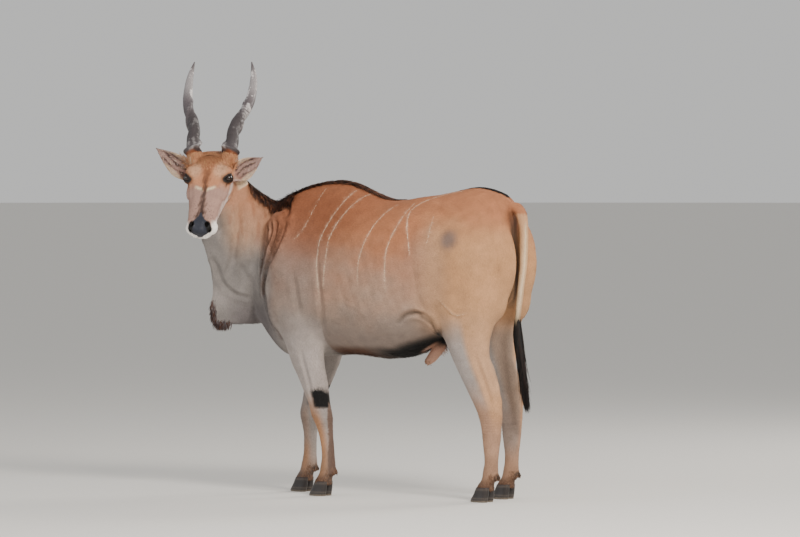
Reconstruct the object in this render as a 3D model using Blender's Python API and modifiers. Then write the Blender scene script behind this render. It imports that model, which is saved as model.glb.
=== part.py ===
"""A standing bull common eland, life size, as a still museum model.

Metres, +Z up, floor at z = 0. The animal faces -X and its left side is -Y. Its neck
bends to its left, so that its face looks back past its left shoulder. Body, neck and
legs are lofts and muscles fused into one skin, which is then parted with thin cuts.
"""

import math
import random

import bmesh
import bpy
from mathutils import Matrix, Vector

# Driving sizes
GAP = 0.0003
BODY_VOXEL = 0.012
HEAD_VOXEL = 0.0045
BODY_FACETS = 3600
HEAD_FACETS = 1600
RING_POINTS = 48
SEED = 12

# Moves the finished animal so that the middle of its box is over the origin.
BODY_SHIFT = Vector((0.23425, 0.157, 0.0))

# Trunk: distance along the back, top, bottom, half width, height of the widest
# point, and how square the upper and lower halves are (2 is an ellipse).
TRUNK = (
    (-0.850, 1.25, 0.98, 0.050, 1.12, 2.0, 2.0),
    (-0.800, 1.35, 0.86, 0.110, 1.10, 2.0, 2.0),
    (-0.720, 1.44, 0.755, 0.165, 1.07, 1.9, 1.9),
    (-0.640, 1.50, 0.695, 0.200, 1.04, 1.8, 1.9),
    (-0.550, 1.545, 0.685, 0.225, 1.03, 1.7, 2.0),
    (-0.460, 1.570, 0.690, 0.240, 1.02, 1.6, 2.0),
    (-0.375, 1.582, 0.700, 0.250, 1.02, 1.55, 2.1),
    (-0.290, 1.578, 0.710, 0.262, 1.01, 1.6, 2.1),
    (-0.200, 1.550, 0.708, 0.278, 1.00, 1.7, 2.2),
    (-0.110, 1.512, 0.700, 0.292, 0.99, 1.85, 2.2),
    (-0.040, 1.490, 0.695, 0.302, 0.98, 2.0, 2.2),
    (0.050, 1.492, 0.705, 0.304, 0.98, 2.1, 2.2),
    (0.150, 1.506, 0.738, 0.296, 1.00, 2.1, 2.2),
    (0.260, 1.520, 0.800, 0.272, 1.04, 2.1, 2.1),
    (0.360, 1.540, 0.865, 0.250, 1.10, 2.0, 2.0),
    (0.450, 1.556, 0.910, 0.235, 1.15, 1.9, 2.0),
    (0.530, 1.545, 0.930, 0.215, 1.17, 1.9, 2.0),
    (0.600, 1.522, 0.960, 0.175, 1.19, 1.9, 2.0),
    (0.648, 1.488, 1.000, 0.110, 1.20, 1.9, 2.0),
)

# Neck: centre of each ring, half height in the neck's own plane, half width.
NECK = (
    (-0.500, 0.000, 1.190, 0.330, 0.190),
    (-0.640, -0.002, 1.222, 0.286, 0.150),
    (-0.745, -0.030, 1.270, 0.230, 0.122),
    (-0.830, -0.092, 1.366, 0.170, 0.104),
    (-0.892, -0.160, 1.482, 0.132, 0.096),
    (-0.925, -0.212, 1.588, 0.114, 0.094),
    (-0.925, -0.262, 1.655, 0.102, 0.090),
)

# Dewlap: a flap in the neck's plane, from its root line to its free edge. Each row is
# a height, the two ends measured along the flap, and half its thickness at each end.
DEWLAP_ROOT = Vector((-0.800, -0.020, 0.0))
DEWLAP_WAY = Vector((-0.687, -0.727, 0.0)).normalized()
DEWLAP = (
    (1.400, 0.120, 0.330, 0.080, 0.050),
    (1.310, 0.090, 0.326, 0.085, 0.044),
    (1.220, 0.050, 0.298, 0.090, 0.030),
    (1.120, 0.020, 0.270, 0.085, 0.020),
    (1.010, -0.030, 0.264, 0.080, 0.016),
    (0.940, -0.050, 0.270, 0.070, 0.016),
    (0.885, -0.040, 0.262, 0.050, 0.015),
    (0.850, 0.020, 0.236, 0.030, 0.013),
)

# Legs: height, half length fore and aft, half width.
FORELEG = (
    (0.980, 0.170, 0.085),
    (0.880, 0.150, 0.083),
    (0.790, 0.118, 0.076),
    (0.700, 0.098, 0.067),
    (0.610, 0.085, 0.057),
    (0.530, 0.074, 0.051),
    (0.470, 0.062, 0.048),
    (0.430, 0.060, 0.049),
    (0.390, 0.058, 0.048),
    (0.355, 0.048, 0.041),
    (0.300, 0.039, 0.033),
    (0.220, 0.036, 0.030),
    (0.175, 0.038, 0.033),
    (0.142, 0.043, 0.038),
    (0.108, 0.037, 0.035),
    (0.080, 0.045, 0.043),
    (0.052, 0.048, 0.045),
)
HINDLEG = (
    (1.150, 0.200, 0.085),
    (1.050, 0.215, 0.098),
    (0.960, 0.200, 0.096),
    (0.870, 0.158, 0.088),
    (0.790, 0.124, 0.080),
    (0.715, 0.106, 0.070),
    (0.650, 0.094, 0.060),
    (0.600, 0.088, 0.053),
    (0.550, 0.084, 0.048),
    (0.500, 0.080, 0.047),
    (0.450, 0.072, 0.047),
    (0.385, 0.060, 0.041),
    (0.310, 0.051, 0.036),
    (0.230, 0.040, 0.031),
    (0.178, 0.038, 0.033),
    (0.142, 0.042, 0.038),
    (0.108, 0.036, 0.035),
    (0.080, 0.044, 0.043),
    (0.052, 0.047, 0.045),
)
# The middle of each leg at heights down it. The right foreleg is set forward.
FORE_PATHS = {
    "left": (
        (-0.500, -0.150, 0.980),
        (-0.448, -0.160, 0.700),
        (-0.409, -0.147, 0.560),
        (-0.376, -0.132, 0.410),
        (-0.352, -0.126, 0.290),
        (-0.345, -0.122, 0.150),
        (-0.372, -0.120, 0.080),
        (-0.384, -0.120, 0.000),
    ),
    "right": (
        (-0.515, 0.150, 0.980),
        (-0.530, 0.160, 0.700),
        (-0.562, 0.147, 0.560),
        (-0.600, 0.130, 0.410),
        (-0.597, 0.124, 0.290),
        (-0.600, 0.120, 0.150),
        (-0.628, 0.120, 0.080),
        (-0.640, 0.120, 0.000),
    ),
}
HIND_PATHS = {
    "left": (
        (0.440, -0.140, 1.150),
        (0.475, -0.160, 0.800),
        (0.530, -0.150, 0.600),
        (0.586, -0.139, 0.460),
        (0.597, -0.132, 0.340),
        (0.590, -0.130, 0.150),
        (0.562, -0.130, 0.080),
        (0.550, -0.130, 0.000),
    ),
    "right": (
        (0.430, 0.140, 1.150),
        (0.448, 0.160, 0.800),
        (0.497, 0.150, 0.600),
        (0.550, 0.139, 0.460),
        (0.566, 0.132, 0.340),
        (0.563, 0.130, 0.150),
        (0.535, 0.130, 0.080),
        (0.523, 0.130, 0.000),
    ),
}
SIDES = {"left": -1, "right": 1}
HOOF_TOP = 0.074
CLAW_SPREAD = 0.0235
# Claw: height, shift forward, half length, half width.
CLAW = (
    (0.000, 0.020, 0.056, 0.0215),
    (0.008, 0.020, 0.057, 0.0220),
    (0.040, 0.009, 0.050, 0.0212),
    (HOOF_TOP - GAP, 0.000, 0.042, 0.0200),
)

# Tail: the middle of each ring and its radius, from the dock down.
TAIL = (
    (0.622, 0.000, 1.448, 0.030),
    (0.662, 0.000, 1.446, 0.033),
    (0.690, 0.000, 1.415, 0.031),
    (0.703, 0.000, 1.340, 0.027),
    (0.703, 0.000, 1.240, 0.025),
    (0.700, 0.000, 1.150, 0.022),
    (0.687, 0.000, 1.050, 0.020),
    (0.674, 0.000, 0.930, 0.018),
    (0.664, 0.000, 0.865, 0.018),
)
# Core of the tail's brush, half as long as its hair, in the same terms.
BRUSH = (
    (0.665, 0.000, 0.890, 0.012),
    (0.665, 0.000, 0.840, 0.022),
    (0.672, 0.000, 0.770, 0.026),
    (0.682, 0.000, 0.700, 0.020),
    (0.692, 0.000, 0.650, 0.008),
)
# Hair: how many locks, their length, width and thickness.
MANE_LOCKS = (28, 0.080, 0.034, 0.008)
CREST_LOCKS = (34, 0.070, 0.032, 0.010)
DEWLAP_LOCKS = (18, 0.062, 0.034, 0.008)
FOREHEAD_LOCKS = (16, 0.046, 0.026, 0.008)
BRUSH_LOCKS = (17, 0.250, 0.038, 0.008)
# How wide a lock is at its root, along its length and at its tip, as shares of its width.
LOCK_SHAPE = (0.80, 1.00, 0.72, 0.10)
LOCK_ROOT = 0.010
# Sheath: distance along, height, radius, from its root to its tip.
SHEATH = (
    (0.270, 0.800, 0.026),
    (0.230, 0.755, 0.032),
    (0.195, 0.712, 0.031),
    (0.168, 0.682, 0.025),
    (0.152, 0.666, 0.014),
)

# Head: its own frame has its root at the occiput, its length running to the nose,
# its left and its crown.
HEAD_ROOT = Vector((-0.9325, -0.2571, 1.6809))
HEAD_TURN = math.radians(110)
HEAD_PITCH = math.radians(45)
FACING = Vector((-math.cos(HEAD_TURN), -math.sin(HEAD_TURN), 0.0))
UPRIGHT = Vector((0, 0, 1))
ALONG = FACING * math.cos(HEAD_PITCH) - UPRIGHT * math.sin(HEAD_PITCH)
CROWN = FACING * math.sin(HEAD_PITCH) + UPRIGHT * math.cos(HEAD_PITCH)
HEAD_LEFT = CROWN.cross(ALONG)

# Skull and face: distance along, half width, height of the face line above the
# middle, depth of the jaw below it, squareness above and below.
SKULL = (
    (-0.030, 0.075, 0.046, 0.075, 2.6, 2.0),
    (0.000, 0.092, 0.060, 0.098, 2.9, 2.1),
    (0.045, 0.104, 0.073, 0.118, 3.1, 2.2),
    (0.095, 0.110, 0.081, 0.127, 3.1, 2.4),
    (0.140, 0.111, 0.083, 0.125, 3.0, 2.5),
    (0.185, 0.107, 0.079, 0.119, 2.7, 2.6),
    (0.235, 0.098, 0.070, 0.109, 2.5, 2.5),
    (0.295, 0.087, 0.060, 0.096, 2.4, 2.4),
    (0.355, 0.078, 0.052, 0.083, 2.4, 2.3),
    (0.405, 0.073, 0.046, 0.074, 2.4, 2.2),
    (0.445, 0.071, 0.042, 0.069, 2.5, 2.2),
    (0.475, 0.067, 0.036, 0.064, 2.5, 2.2),
    (0.495, 0.055, 0.024, 0.054, 2.4, 2.2),
    (0.506, 0.034, 0.008, 0.036, 2.2, 2.2),
)
EYE_PLACE = (0.168, 0.1005, 0.043)
EYE_RADIUS = 0.0245
LID_THICKNESS = 0.0055
EAR_PLACE = (0.100, 0.098, -0.018)
EAR_WAYS = {"right": Vector((-0.1895, -0.0517, 0.148)), "left": Vector((0.0527, 0.2187, 0.101))}
EAR_LENGTH = 0.247
EAR_WIDTH = 0.096
EAR_THICKNESS = 0.0055

HORN_PLACE = (0.062, 0.060)
HORN_LENGTH = 0.632
HORN_RADII = (0.039, 0.036, 0.034, 0.0325, 0.0305, 0.0285, 0.0270, 0.0245, 0.0205, 0.0140, 0.003)
HORN_KEEL = 0.45
# The collar's swelling and how high it sits, and how much the stalk under it narrows.
HORN_FLANGE = 0.30
HORN_COLLAR = 0.094
HORN_STALK = 0.25
HORN_RISE = math.radians(8)
# Half the space between the horns at even steps from base to tip.
HORN_SPREAD = (0.094, 0.098, 0.101, 0.099, 0.115, 0.147, 0.162, 0.1670, 0.168, 0.161, 0.149)
HORN_LEAN = 0.018  # both tips lean this far towards the right, as the head is held
HORN_TWIST = math.radians(480)
HORN_TWIST_END = 0.56

COLOURS = {
    "hide_tan": (0.45, 0.24, 0.13),
    "hide_grey": (0.40, 0.33, 0.28),
    "hide_pale": (0.55, 0.45, 0.38),
    "face": (0.47, 0.25, 0.15),
    "horn": (0.24, 0.20, 0.21),
    "hoof": (0.05, 0.045, 0.045),
    "eye": (0.012, 0.009, 0.008),
    "sheath": (0.36, 0.22, 0.17),
}


def start_clean():
    """Removes what the file came with."""
    for thing in list(bpy.data.objects):
        bpy.data.objects.remove(thing)
    animal = bpy.data.collections.new("eland")
    cutters = bpy.data.collections.new("cutters")
    bpy.context.scene.collection.children.link(animal)
    bpy.context.scene.collection.children.link(cutters)
    return animal, cutters


def finish(name, roughness=0.7, metallic=0.0):
    """One plain material for each colour of coat, horn or hoof."""
    found = bpy.data.materials.get(name)
    if found:
        return found
    material = bpy.data.materials.new(name)
    material.use_nodes = True
    shader = material.node_tree.nodes["Principled BSDF"]
    shader.inputs["Base Color"].default_value = (*COLOURS[name], 1.0)
    shader.inputs["Roughness"].default_value = roughness
    shader.inputs["Metallic"].default_value = metallic
    return material


def curve_through(rows, steps):
    """Rows of numbers with more rows between them, on a Catmull-Rom curve."""
    found = []
    last = len(rows) - 1
    for i in range(last):
        p, q, r, s = (rows[min(max(j, 0), last)] for j in (i - 1, i, i + 1, i + 2))
        for k in range(steps):
            t = k / steps
            found.append(
                tuple(
                    0.5
                    * (
                        2 * b
                        + (c - a) * t
                        + (2 * a - 5 * b + 4 * c - d) * t**2
                        + (3 * b - a - 3 * c + d) * t**3
                    )
                    for a, b, c, d in zip(p, q, r, s)
                )
            )
    found.append(tuple(rows[last]))
    return found


def at_height(path, height):
    """The point of a path of (x, y, z) rows, running down, at that height."""
    for above, below in zip(path, path[1:]):
        if height >= below[2] or below is path[-1]:
            share = (above[2] - height) / (above[2] - below[2])
            return Vector(above).lerp(Vector(below), share)
    return Vector(path[-1])


def ring(centre, side, up, half_width, rise, drop, powers=(2.0, 2.0), count=RING_POINTS):
    """A closed ring, rounder or squarer above and below its widest line."""
    points = []
    for i in range(count):
        angle = 2 * math.pi * i / count
        c, s = math.cos(angle), math.sin(angle)
        power = powers[0] if s >= 0 else powers[1]
        across = half_width * math.copysign(abs(c) ** (2 / power), c)
        height = (rise if s >= 0 else drop) * math.copysign(abs(s) ** (2 / power), s)
        points.append(centre + side * across + up * height)
    return points


def loft(mesh, rings):
    """Adds the closed skin over a row of rings to a bmesh."""
    rows = [[mesh.verts.new(point) for point in points] for points in rings]
    for low, high in zip(rows, rows[1:]):
        for i, corner in enumerate(low):
            j = (i + 1) % len(low)
            mesh.faces.new((corner, low[j], high[j], high[i]))
    mesh.faces.new(list(reversed(rows[0])))
    mesh.faces.new(rows[-1])


def ball(mesh, centre, radii, turn=None, segments=20):
    """Adds an ellipsoid, a muscle or a bony swelling, to a bmesh."""
    turned = turn.to_4x4() if turn else Matrix.Identity(4)
    place = Matrix.Translation(Vector(centre)) @ turned @ Matrix.Diagonal((*radii, 1))
    bmesh.ops.create_uvsphere(
        mesh, u_segments=segments, v_segments=segments // 2 + 2, radius=1, matrix=place
    )


def pitch(degrees):
    """A turn about the animal's side to side axis."""
    return Matrix.Rotation(math.radians(degrees), 3, "Y")


def put(name, mesh, home, colour=None):
    """Makes an object of a bmesh, with its faces pointing out."""
    bmesh.ops.recalc_face_normals(mesh, faces=mesh.faces[:])
    data = bpy.data.meshes.new(name)
    mesh.to_mesh(data)
    mesh.free()
    thing = bpy.data.objects.new(name, data)
    home.objects.link(thing)
    if colour:
        data.materials.append(finish(colour))
    if home.name == "cutters":
        thing.hide_render = True
        thing.display_type = "WIRE"
    return thing


def settle(thing):
    """Applies an object's modifiers."""
    graph = bpy.context.evaluated_depsgraph_get()
    data = bpy.data.meshes.new_from_object(thing.evaluated_get(graph))
    thing.modifiers.clear()
    thing.data = data
    return thing


def fuse(thing, voxel, smoothing, facets, softness=None):
    """Makes overlapping pieces one soft skin of about this many triangles.

    The softness of a place, from 0 to 1, keeps thin forms from shrinking.
    """
    remesh = thing.modifiers.new("one_skin", "REMESH")
    remesh.mode = "VOXEL"
    remesh.voxel_size = voxel
    settle(thing)
    soften = thing.modifiers.new("soften", "SMOOTH")
    soften.factor = 0.5
    soften.iterations = smoothing
    if softness:
        group = thing.vertex_groups.new(name="soft")
        for corner in thing.data.vertices:
            group.add((corner.index,), softness(corner.co), "REPLACE")
        soften.vertex_group = "soft"
    settle(thing)
    thin = thing.modifiers.new("facets", "DECIMATE")
    thin.ratio = facets / (2 * len(thing.data.polygons))
    settle(thing)
    thing.vertex_groups.clear()
    return thing


def body_softness(place):
    """Full on the trunk, little on the legs and the flap."""
    by_height = min(max((place.z - 0.62) / 0.25, 0.15), 1.0)
    by_flap = 0.25 if place.x < -0.78 and place.z < 1.35 else 1.0
    return min(by_height, by_flap)


def keep_largest(thing):
    """Leaves only the largest closed surface, without loose scraps."""
    mesh = bmesh.new()
    mesh.from_mesh(thing.data)
    left = set(mesh.faces)
    islands = []
    while left:
        stack = [left.pop()]
        island = set(stack)
        while stack:
            for edge in stack.pop().edges:
                for face in edge.link_faces:
                    if face in left:
                        left.discard(face)
                        island.add(face)
                        stack.append(face)
        islands.append(island)
    islands.sort(key=len)
    for island in islands[:-1]:
        bmesh.ops.delete(mesh, geom=list(island), context="FACES")
    mesh.to_mesh(thing.data)
    mesh.free()
    return thing


def cut(thing, tool, operation="DIFFERENCE", solver="EXACT"):
    """Cuts one closed mesh by another and keeps the largest piece."""
    boolean = thing.modifiers.new("cut", "BOOLEAN")
    boolean.operation = operation
    boolean.solver = solver
    boolean.object = tool
    settle(thing)
    return keep_largest(thing)


def block(name, corners, home, grow=0.0):
    """The convex block over its corner points, grown outwards by a gap."""
    mesh = bmesh.new()
    for corner in corners:
        mesh.verts.new(corner)
    bmesh.ops.convex_hull(mesh, input=mesh.verts[:])
    bmesh.ops.recalc_face_normals(mesh, faces=mesh.faces[:])
    mesh.normal_update()
    for corner in mesh.verts:
        corner.co += corner.normal * grow * 1.8
    return put(name, mesh, home)


def copy_of(thing, name, home):
    """A copy with its own mesh."""
    twin = bpy.data.objects.new(name, thing.data.copy())
    home.objects.link(twin)
    if home.name == "cutters":
        twin.hide_render = True
        twin.display_type = "WIRE"
    return twin


def grown(thing, name, home, by):
    """A copy whose surface stands off by a small gap, to cut a neighbour with."""
    twin = copy_of(thing, name, home)
    mesh = bmesh.new()
    mesh.from_mesh(twin.data)
    mesh.normal_update()
    for corner in mesh.verts:
        corner.co += corner.normal * by
    mesh.to_mesh(twin.data)
    mesh.free()
    return twin


def trunk_rings():
    side = Vector((0, 1, 0))
    for x, top, bottom, half, widest, over, under in curve_through(TRUNK, 3):
        centre = Vector((x, 0, widest))
        yield ring(centre, side, UPRIGHT, half, top - widest, widest - bottom, (over, under))


def neck_rings():
    rows = curve_through(NECK, 3)
    for i, (x, y, z, half_height, half_width) in enumerate(rows):
        before = Vector(rows[max(i - 1, 0)][:3])
        after = Vector(rows[min(i + 1, len(rows) - 1)][:3])
        way = (after - before).normalized()
        side = UPRIGHT.cross(way).normalized()
        up = way.cross(side)
        yield ring(Vector((x, y, z)), side, up, half_width, half_height, half_height)


def dewlap_rings():
    side = UPRIGHT.cross(DEWLAP_WAY)
    for height, start, end, root_half, edge_half in curve_through(DEWLAP, 4):
        points = []
        for i in range(24):
            angle = 2 * math.pi * i / 24
            share = (1 - math.cos(angle)) / 2
            thick = (root_half + (edge_half - root_half) * share) * math.sin(angle)
            place = DEWLAP_ROOT + DEWLAP_WAY * (start + (end - start) * share)
            points.append(place + side * thick + UPRIGHT * height)
        yield points


def leg_rings(rows, path):
    forward = Vector((-1, 0, 0))
    side = Vector((0, 1, 0))
    smooth_path = curve_through(path, 4)
    for height, half_length, half_width in curve_through(rows, 2):
        centre = at_height(smooth_path, height)
        yield ring(centre, side, forward, half_width, half_length, half_length, count=20)


def muscles(mesh):
    """The masses that shape the outline of the trunk and the roots of the legs."""
    for side in SIDES.values():
        ball(mesh, (-0.560, side * 0.140, 1.130), (0.120, 0.086, 0.310), pitch(-14))
        ball(mesh, (-0.560, side * 0.155, 0.950), (0.120, 0.076, 0.140), pitch(0))
        ball(mesh, (-0.420, side * 0.160, 0.880), (0.105, 0.070, 0.170), pitch(24))
        ball(mesh, (0.420, side * 0.145, 1.130), (0.220, 0.112, 0.300), pitch(8))
        ball(mesh, (0.575, side * 0.105, 1.190), (0.144, 0.088, 0.245), pitch(-3))
        ball(mesh, (0.565, side * 0.120, 1.040), (0.110, 0.078, 0.170), pitch(-14))
        ball(mesh, (0.340, side * 0.115, 1.390), (0.130, 0.065, 0.080), pitch(10))
        ball(mesh, (0.300, side * 0.150, 0.920), (0.080, 0.075, 0.120), pitch(-30))
    ball(mesh, (0.000, 0.0, 0.960), (0.300, 0.300, 0.262))


def heels(mesh, path, hock):
    """Dew claws behind the fetlock and, on a hind leg, the point of the hock."""
    fetlock = at_height(curve_through(path, 4), 0.128)
    for lean in (-1, 1):
        place = fetlock + Vector((0.040, lean * 0.019, -0.010))
        ball(mesh, place, (0.014, 0.011, 0.019), segments=10)
    if hock:
        middle = at_height(curve_through(path, 4), 0.500)
        ball(mesh, middle + Vector((0.066, 0, 0.0)), (0.026, 0.024, 0.046), pitch(-8))
        ball(mesh, middle + Vector((0.052, 0, 0.105)), (0.016, 0.018, 0.110), pitch(-16))


def top_line(x):
    """The height of the back at a distance along it."""
    rows = curve_through(TRUNK, 6)
    for low, high in zip(rows, rows[1:]):
        if x <= high[0]:
            return low[1] + (high[1] - low[1]) * (x - low[0]) / (high[0] - low[0])
    return rows[-1][1]


def crest_line(start, end, count):
    """Points along the crest, from the poll over the neck and hump to the loins."""
    line = []
    for row, after in zip(NECK[4:1:-1], NECK[5:2:-1]):
        way = (Vector(after[:3]) - Vector(row[:3])).normalized()
        side = UPRIGHT.cross(way).normalized()
        line.append(Vector(row[:3]) + way.cross(side) * row[3])
    line += [Vector((x / 100, 0, top_line(x / 100))) for x in range(-72, 12, 6)]
    smooth = [Vector(point) for point in curve_through([tuple(p) for p in line], 6)]
    points = []
    for i in range(count):
        place = (start + (end - start) * i / (count - 1)) * (len(smooth) - 1)
        before = min(int(place), len(smooth) - 2)
        points.append(smooth[before].lerp(smooth[before + 1], place - before))
    return points


def lock(root, grows, lies, wide, sizes):
    """One flat, tapered lock that leaves its root one way and bends to lie another."""
    length, width, thick = (size * random.uniform(0.8, 1.2) for size in sizes)
    lies = (lies + Vector([random.uniform(-0.12, 0.12) for _ in range(3)])).normalized()
    place = root - grows.normalized() * LOCK_ROOT
    steps = len(LOCK_SHAPE) - 1
    rings = []
    for i, share in enumerate(LOCK_SHAPE):
        way = grows.normalized().lerp(lies, i / steps).normalized()
        side = (wide - way * wide.dot(way)).normalized()
        across = side * width / 2 * share
        through = way.cross(side) * thick / 2 * max(share, 0.3)
        rings.append([place + across, place + through, place - across, place - through])
        place = place + way * (length + LOCK_ROOT) / steps
    mesh = bmesh.new()
    loft(mesh, rings)
    return mesh


def add_hair(node, locks):
    """Joins locks to the node that they grow from."""
    hair = bpy.data.collections.new("hair")
    bpy.context.scene.collection.children.link(hair)
    for mesh in locks:
        put("lock", mesh, hair)
    boolean = node.modifiers.new("hair", "BOOLEAN")
    boolean.operation = "UNION"
    boolean.solver = "MANIFOLD"
    boolean.operand_type = "COLLECTION"
    boolean.collection = hair
    settle(node)
    for piece in list(hair.objects):
        bpy.data.objects.remove(piece)
    bpy.data.collections.remove(hair)
    return keep_largest(node)


def body_hair():
    """The mane on the neck, the crest over the hump and the tuft of the dewlap."""
    count, *sizes = MANE_LOCKS
    points = crest_line(0.02, 0.30, count)
    for i, point in enumerate(points[:-1]):
        way = (points[i + 1] - point).normalized()
        side = way.cross(UPRIGHT).normalized()
        lean = (-1.0, 0.15, 1.0, -0.4)[i % 4]
        root = point + side * lean * 0.026 - UPRIGHT * abs(lean) * 0.008
        grows = UPRIGHT * 0.6 + side * lean * 0.4 + way * 0.5
        lies = way * 0.7 + side * lean * 0.6 - UPRIGHT * abs(lean) * 0.3
        if abs(lean) < 0.5:
            wide = way * 0.8 - UPRIGHT * 0.5
        else:
            wide = way * 0.6 - side * lean * 0.7
        yield lock(root, grows, lies, wide, sizes)
    count, *sizes = CREST_LOCKS
    points = crest_line(0.26, 0.90, count)
    for i, point in enumerate(points[:-1]):
        way = (points[i + 1] - point).normalized()
        side = way.cross(UPRIGHT).normalized()
        lean = (-0.6, 0.4, 0.0, -0.3, 0.6)[i % 5]
        low = 1.0 - 0.35 * i / count
        grows = UPRIGHT * 0.55 * low + side * lean * 0.3 + way * 0.8
        lies = way + UPRIGHT * 0.02 + side * lean * 0.25
        root = point + side * lean * 0.014 - UPRIGHT * 0.002
        yield lock(root, grows, lies, UPRIGHT + side * lean * 0.8, sizes)
    count, *sizes = DEWLAP_LOCKS
    side = UPRIGHT.cross(DEWLAP_WAY)
    for i in range(count):
        share = i / (count - 1)
        if share < 0.5:
            reach, height = 0.262, 0.965 - 0.17 * share
        else:
            reach, height = 0.262 - 0.28 * (share - 0.5), 0.872 - 0.03 * (share - 0.5)
        lean = (-0.8, 0.0, 0.8)[i % 3]
        root = DEWLAP_ROOT + DEWLAP_WAY * (reach - 0.010) + side * lean * 0.008 + UPRIGHT * height
        grows = DEWLAP_WAY * (0.9 - share) + side * lean * 0.6 - UPRIGHT * (0.5 + share)
        lies = DEWLAP_WAY * 0.2 - UPRIGHT
        yield lock(root, grows, lies, DEWLAP_WAY + side * lean * 0.4, sizes)


def forehead_hair():
    """The brush between the horns, which stands up and leans to both sides."""
    count, *sizes = FOREHEAD_LOCKS
    rows = 4
    for i in range(count):
        along = 0.012 + 0.090 * (i // rows) / (count // rows)
        left = 0.028 * (2 * (i % rows) / (rows - 1) - 1) + 0.003 * (-1) ** (i // rows)
        root = in_head(along, left, 0.072 - 2.0 * left * left)
        grows = CROWN * 0.8 - ALONG * 0.35 + HEAD_LEFT * left * 2
        lies = CROWN * 0.5 - ALONG * 0.8 + HEAD_LEFT * left * 4
        yield lock(root, grows, lies, HEAD_LEFT + CROWN * left * 8, sizes)


def brush_hair():
    """The long hair of the tail's end, hanging from its core."""
    count, length, width, thick = BRUSH_LOCKS
    for i in range(count):
        share = (i + 0.5) / count
        turn = i * math.radians(137.5)
        height = 0.870 - 0.20 * share
        core = at_height([row[:3] for row in BRUSH], height)
        out = Vector((math.cos(turn), math.sin(turn), 0))
        reach = 0.010 + 0.010 * math.sin(math.pi * min(share * 1.4, 1))
        tip = Vector((0.722, 0.0, 0.462)) + out * 0.018 * (1 - share)
        root = core + out * reach
        grows = (out * 0.22 - UPRIGHT).normalized()
        lies = (tip - root - out * 0.015).normalized()
        long = min(length, (tip - root).length * 0.95)
        yield lock(root, grows, lies, UPRIGHT.cross(out), (long, width, thick))


def make_sheath(animal, cutters, torso):
    """The prepuce under the rear of the belly."""
    side = Vector((0, 1, 0))
    up = Vector((0.85, 0, -0.5)).normalized()
    rings = [
        ring(Vector((x, 0, z)), side, up, radius * 0.8, radius, radius, count=14)
        for x, z, radius in curve_through(SHEATH, 2)
    ]
    mesh = bmesh.new()
    loft(mesh, rings)
    return cut(
        put("sheath", mesh, animal, "sheath"), grown(torso, "torso_and_gap", cutters, GAP * 1.6)
    )


def whole_body(home):
    """Trunk, neck, dewlap and legs as one skin."""
    mesh = bmesh.new()
    loft(mesh, trunk_rings())
    loft(mesh, neck_rings())
    loft(mesh, dewlap_rings())
    muscles(mesh)
    for name in SIDES:
        loft(mesh, leg_rings(FORELEG, FORE_PATHS[name]))
        heels(mesh, FORE_PATHS[name], hock=False)
        loft(mesh, leg_rings(HINDLEG, HIND_PATHS[name]))
        heels(mesh, HIND_PATHS[name], hock=True)
    return fuse(put("whole_body", mesh, home), BODY_VOXEL, 30, BODY_FACETS, body_softness)


def in_head(along, left, crown):
    """A point given in the head's own frame."""
    return HEAD_ROOT + ALONG * along + HEAD_LEFT * left + CROWN * crown


def head_turn():
    """The head's frame as a rotation: its X runs to the nose, Y left, Z to the crown."""
    return Matrix((ALONG, HEAD_LEFT, CROWN)).transposed()


def skull_rings():
    for along, half, rise, drop, over, under in curve_through(SKULL, 3):
        centre = in_head(along, 0, 0)
        yield ring(centre, HEAD_LEFT, CROWN, half, rise, drop, (over, under), 32)


def head_masses(mesh):
    """Cheeks, brows, orbits, muzzle, lips and chin."""
    turn = head_turn()
    for side in (-1, 1):
        along, out, up = EYE_PLACE
        lid = EYE_RADIUS + LID_THICKNESS
        ball(mesh, in_head(along, side * out, up), (lid, lid, lid), turn)
        ball(mesh, in_head(0.150, side * 0.082, 0.052), (0.060, 0.036, 0.032), turn)
        ball(mesh, in_head(0.205, side * 0.088, 0.010), (0.085, 0.020, 0.022), turn)
        ball(mesh, in_head(0.115, side * 0.062, -0.058), (0.105, 0.048, 0.076), turn)
        ball(mesh, in_head(0.030, side * 0.088, 0.050), (0.060, 0.040, 0.040), turn)
        ball(mesh, in_head(0.092, side * 0.088, -0.016), (0.042, 0.032, 0.042), turn)
        ball(mesh, in_head(0.448, side * 0.048, -0.024), (0.042, 0.034, 0.030), turn)
        ball(mesh, in_head(0.472, side * 0.038, 0.012), (0.030, 0.024, 0.024), turn)
    ball(mesh, in_head(0.100, 0, 0.058), (0.080, 0.080, 0.032), turn)
    ball(mesh, in_head(0.430, 0, -0.058), (0.054, 0.042, 0.022), turn)
    ball(mesh, in_head(0.490, 0, -0.002), (0.022, 0.038, 0.030), turn)


def head_block(home, name, grow):
    """The region of the head: in front of a slanted cut behind the poll and jaw."""
    corners = []
    for side in (-0.30, 0.30):
        corners.append(in_head(-0.050, side, 0.160))
        corners.append(in_head(0.068, side, -0.160))
        corners.append(in_head(0.640, side, 0.160))
        corners.append(in_head(0.640, side, -0.160))
    return block(name, corners, home, grow)


def almond(mesh, side):
    """The cutter that opens the lids: an almond, pointing the way the eye looks."""
    along, out, up = EYE_PLACE
    gaze = (HEAD_LEFT * side * 0.72 + ALONG * 0.50 + CROWN * 0.33).normalized()
    corner = (ALONG - gaze * ALONG.dot(gaze)).normalized()
    height = gaze.cross(corner)
    eye = in_head(along, side * out, up)
    turn = Matrix((corner, height, gaze)).transposed()
    ball(mesh, eye + gaze * EYE_RADIUS, (0.0245, 0.0145, 0.018), turn, 14)


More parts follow.
